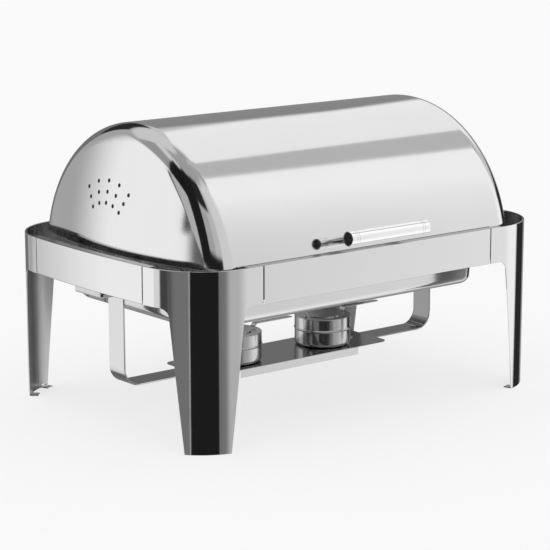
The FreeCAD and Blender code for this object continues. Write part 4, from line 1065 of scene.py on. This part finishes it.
# soft boxes, gray cards and black flags round the object, as it sees them: azimuth from +X
# towards +Y and elevation, each from and to in degrees, how far each of those four edges is
# softened, and the brightness
CARDS = [
    ("ceiling", -180, 180, 56, 95, (0, 0, 14, 4), 0.78),
    ("floor glow", -180, 180, -95, -18, (0, 0, 4, 6), 0.77),
    ("floor right", 5, 115, -60, -16, (6, 6, 6, 4), 0.54),
    ("front area", -98, -40, -30, 70, (3, 8, 4, 8), 0.79),
    ("front low", -98, -60, -24, -5, (3, 20, 4, 5), 0.67),
    ("front low edge", -99, -86, -24, -5, (2, 12, 4, 5), 0.44),
    ("front box", -45, -13, -60, 56, (28, 4, 4, 6), 0.93),
    ("zenith", -180, 180, 69, 95, (0, 0, 8, 4), 0.60),
    ("top gray", -40, 5, 58, 80, (6, 6, 8, 8), 0.62),
    ("right gap", -12, 8, 35, 80, (5, 5, 8, 8), 0.69),
    ("right low", 18, 46, -60, 16, (4, 4, 4, 4), 0.55),
    ("right box", 8, 47, 20, 62, (2, 3, 4, 4), 0.90),
    ("right gray", 44, 58, -6, 26, (3, 3, 4, 6), 0.50),
    ("right flag", -10, 22, -24, 12, (2, 8, 4, 4), 0.17),
    ("camera left", -122, -98, 12, 70, (4, 3, 4, 8), 0.70),
    ("gray middle", -146, -122, 14, 46, (3, 4, 4, 4), 0.62),
    ("camera flag", -147, -99, -22, 15, (2, 7, 4, 5), 0.13),
    ("side low", 178, 212, -20, -6, (3, 3, 4, 3), 0.43),
    ("black flag", 179, 214, 0, 70, (2, 2, 4, 6), 0.13),
    ("black flag top", -150, -110, 47, 72, (3, 8, 4, 6), 0.16),
    ("left top", 120, 158, 36, 58, (4, 2, 3, 4), 0.57),
    ("left gray", 86, 126, -24, 40, (24, 6, 4, 4), 0.62),
    ("left box", 117, 156, -30, 34, (24, 2, 4, 3), 0.92),
    ("left low", 150, 161, -22, -6, (2, 2, 4, 2), 0.82),
    ("left low dark", 162, 182, -22, -6, (4, 16, 4, 2), 0.26),
    ("left light", 156, 180, 2, 32, (2, 2, 2, 3), 0.67),
    ("left light foot", 157.5, 180, -6, 2, (2, 2, 2, 2), 0.36),
    ("left line", 154, 157, 1, 30, (1.5, 1.5, 2, 3), 0.22),
    ("left top flag", 158, 184, 33, 64, (2, 2, 2, 4), 0.12),
    ("back top", 58, 118, 42, 80, (4, 6, 4, 6), 0.77),
    ("back low", 57, 92, -24, 17, (3, 4, 4, 3), 0.42),
    ("back flag", 58, 90, 17, 38, (3, 3, 3, 4), 0.17),
]


def make_world():
    """Studio for mirror reflections, with plain light for the backdrop and diffuse rays."""
    world = bpy.data.worlds.new("studio")
    world.use_nodes = True
    bpy.context.scene.world = world
    tree = world.node_tree
    tree.nodes.clear()

    def math_node(operation, *values, clamp=False):
        node = tree.nodes.new("ShaderNodeMath")
        node.operation = operation
        node.use_clamp = clamp
        for socket, value in zip(node.inputs, values):
            if isinstance(value, (int, float)):
                socket.default_value = value
            else:
                tree.links.new(value, socket)
        return node.outputs[0]

    place = tree.nodes.new("ShaderNodeTexCoord")
    parts = tree.nodes.new("ShaderNodeSeparateXYZ")
    tree.links.new(place.outputs["Generated"], parts.inputs[0])
    x, y, z = parts.outputs
    azimuth = math_node("MULTIPLY", math_node("ARCTAN2", y, x), 180 / math.pi)
    wrapped = math_node("WRAP", azimuth, 270.0, -90.0)
    elevation = math_node("MULTIPLY", math_node("ARCSINE", z), 180 / math.pi)

    def window(value, low, high, soft_low, soft_high):
        """1 between low and high, falling smoothly to 0 across each edge."""
        steps = []
        for start, end in ((low - soft_low / 2, low + soft_low / 2),
                           (high + soft_high / 2, high - soft_high / 2)):
            node = new_node(tree, "ShaderNodeMapRange", {"From Min": start, "From Max": end},
                            {"Value": value})
            node.interpolation_type = "SMOOTHSTEP"
            steps.append(node.outputs[0])
        return math_node("MULTIPLY", *steps)

    light = level(BASE_BRIGHTNESS)
    for _, az_low, az_high, el_low, el_high, soft, bright in CARDS:
        mask = window(elevation, el_low, el_high, *soft[2:])
        if az_high - az_low < 360:
            turn = wrapped if az_high > SEAM_FROM else azimuth
            mask = math_node("MULTIPLY", mask, window(turn, az_low, az_high, *soft[:2]))
        step = math_node("MULTIPLY", mask, math_node("SUBTRACT", level(bright), light))
        light = math_node("ADD", light, step)

    rays = tree.nodes.new("ShaderNodeLightPath")
    flat = math_node("MULTIPLY", rays.outputs["Is Camera Ray"], BACKGROUND)
    diffuse = math_node("MULTIPLY", rays.outputs["Is Diffuse Ray"], FLOOR_LIGHT)
    other = math_node("SUBTRACT", 1.0, math_node("ADD", rays.outputs["Is Camera Ray"],
                                                 rays.outputs["Is Diffuse Ray"], clamp=True))
    total = math_node("ADD", math_node("ADD", flat, diffuse), math_node("MULTIPLY", other, light))
    background = tree.nodes.new("ShaderNodeBackground")
    output = tree.nodes.new("ShaderNodeOutputWorld")
    tree.links.new(total, background.inputs["Color"])
    tree.links.new(background.outputs[0], output.inputs["Surface"])


AZIMUTH, ELEVATION, DISTANCE = math.radians(39.03), math.radians(11.96), 2.95
AIM = Vector((-0.0527, CENTRE_Y - 0.0570, 0.1865))
LENS, SENSOR = 135, 36


def make_camera():
    data = bpy.data.cameras.new("camera")
    data.lens = LENS
    data.sensor_width = SENSOR
    camera = new_object("camera", data)
    toward = Vector((math.sin(AZIMUTH) * math.cos(ELEVATION),
                     math.cos(AZIMUTH) * math.cos(ELEVATION), -math.sin(ELEVATION)))
    camera.location = AIM - toward * DISTANCE
    camera.rotation_euler = toward.to_track_quat("-Z", "Y").to_euler()
    bpy.context.scene.camera = camera


make_floor()
make_world()
make_camera()
bpy.context.scene.view_settings.view_transform = "Standard"
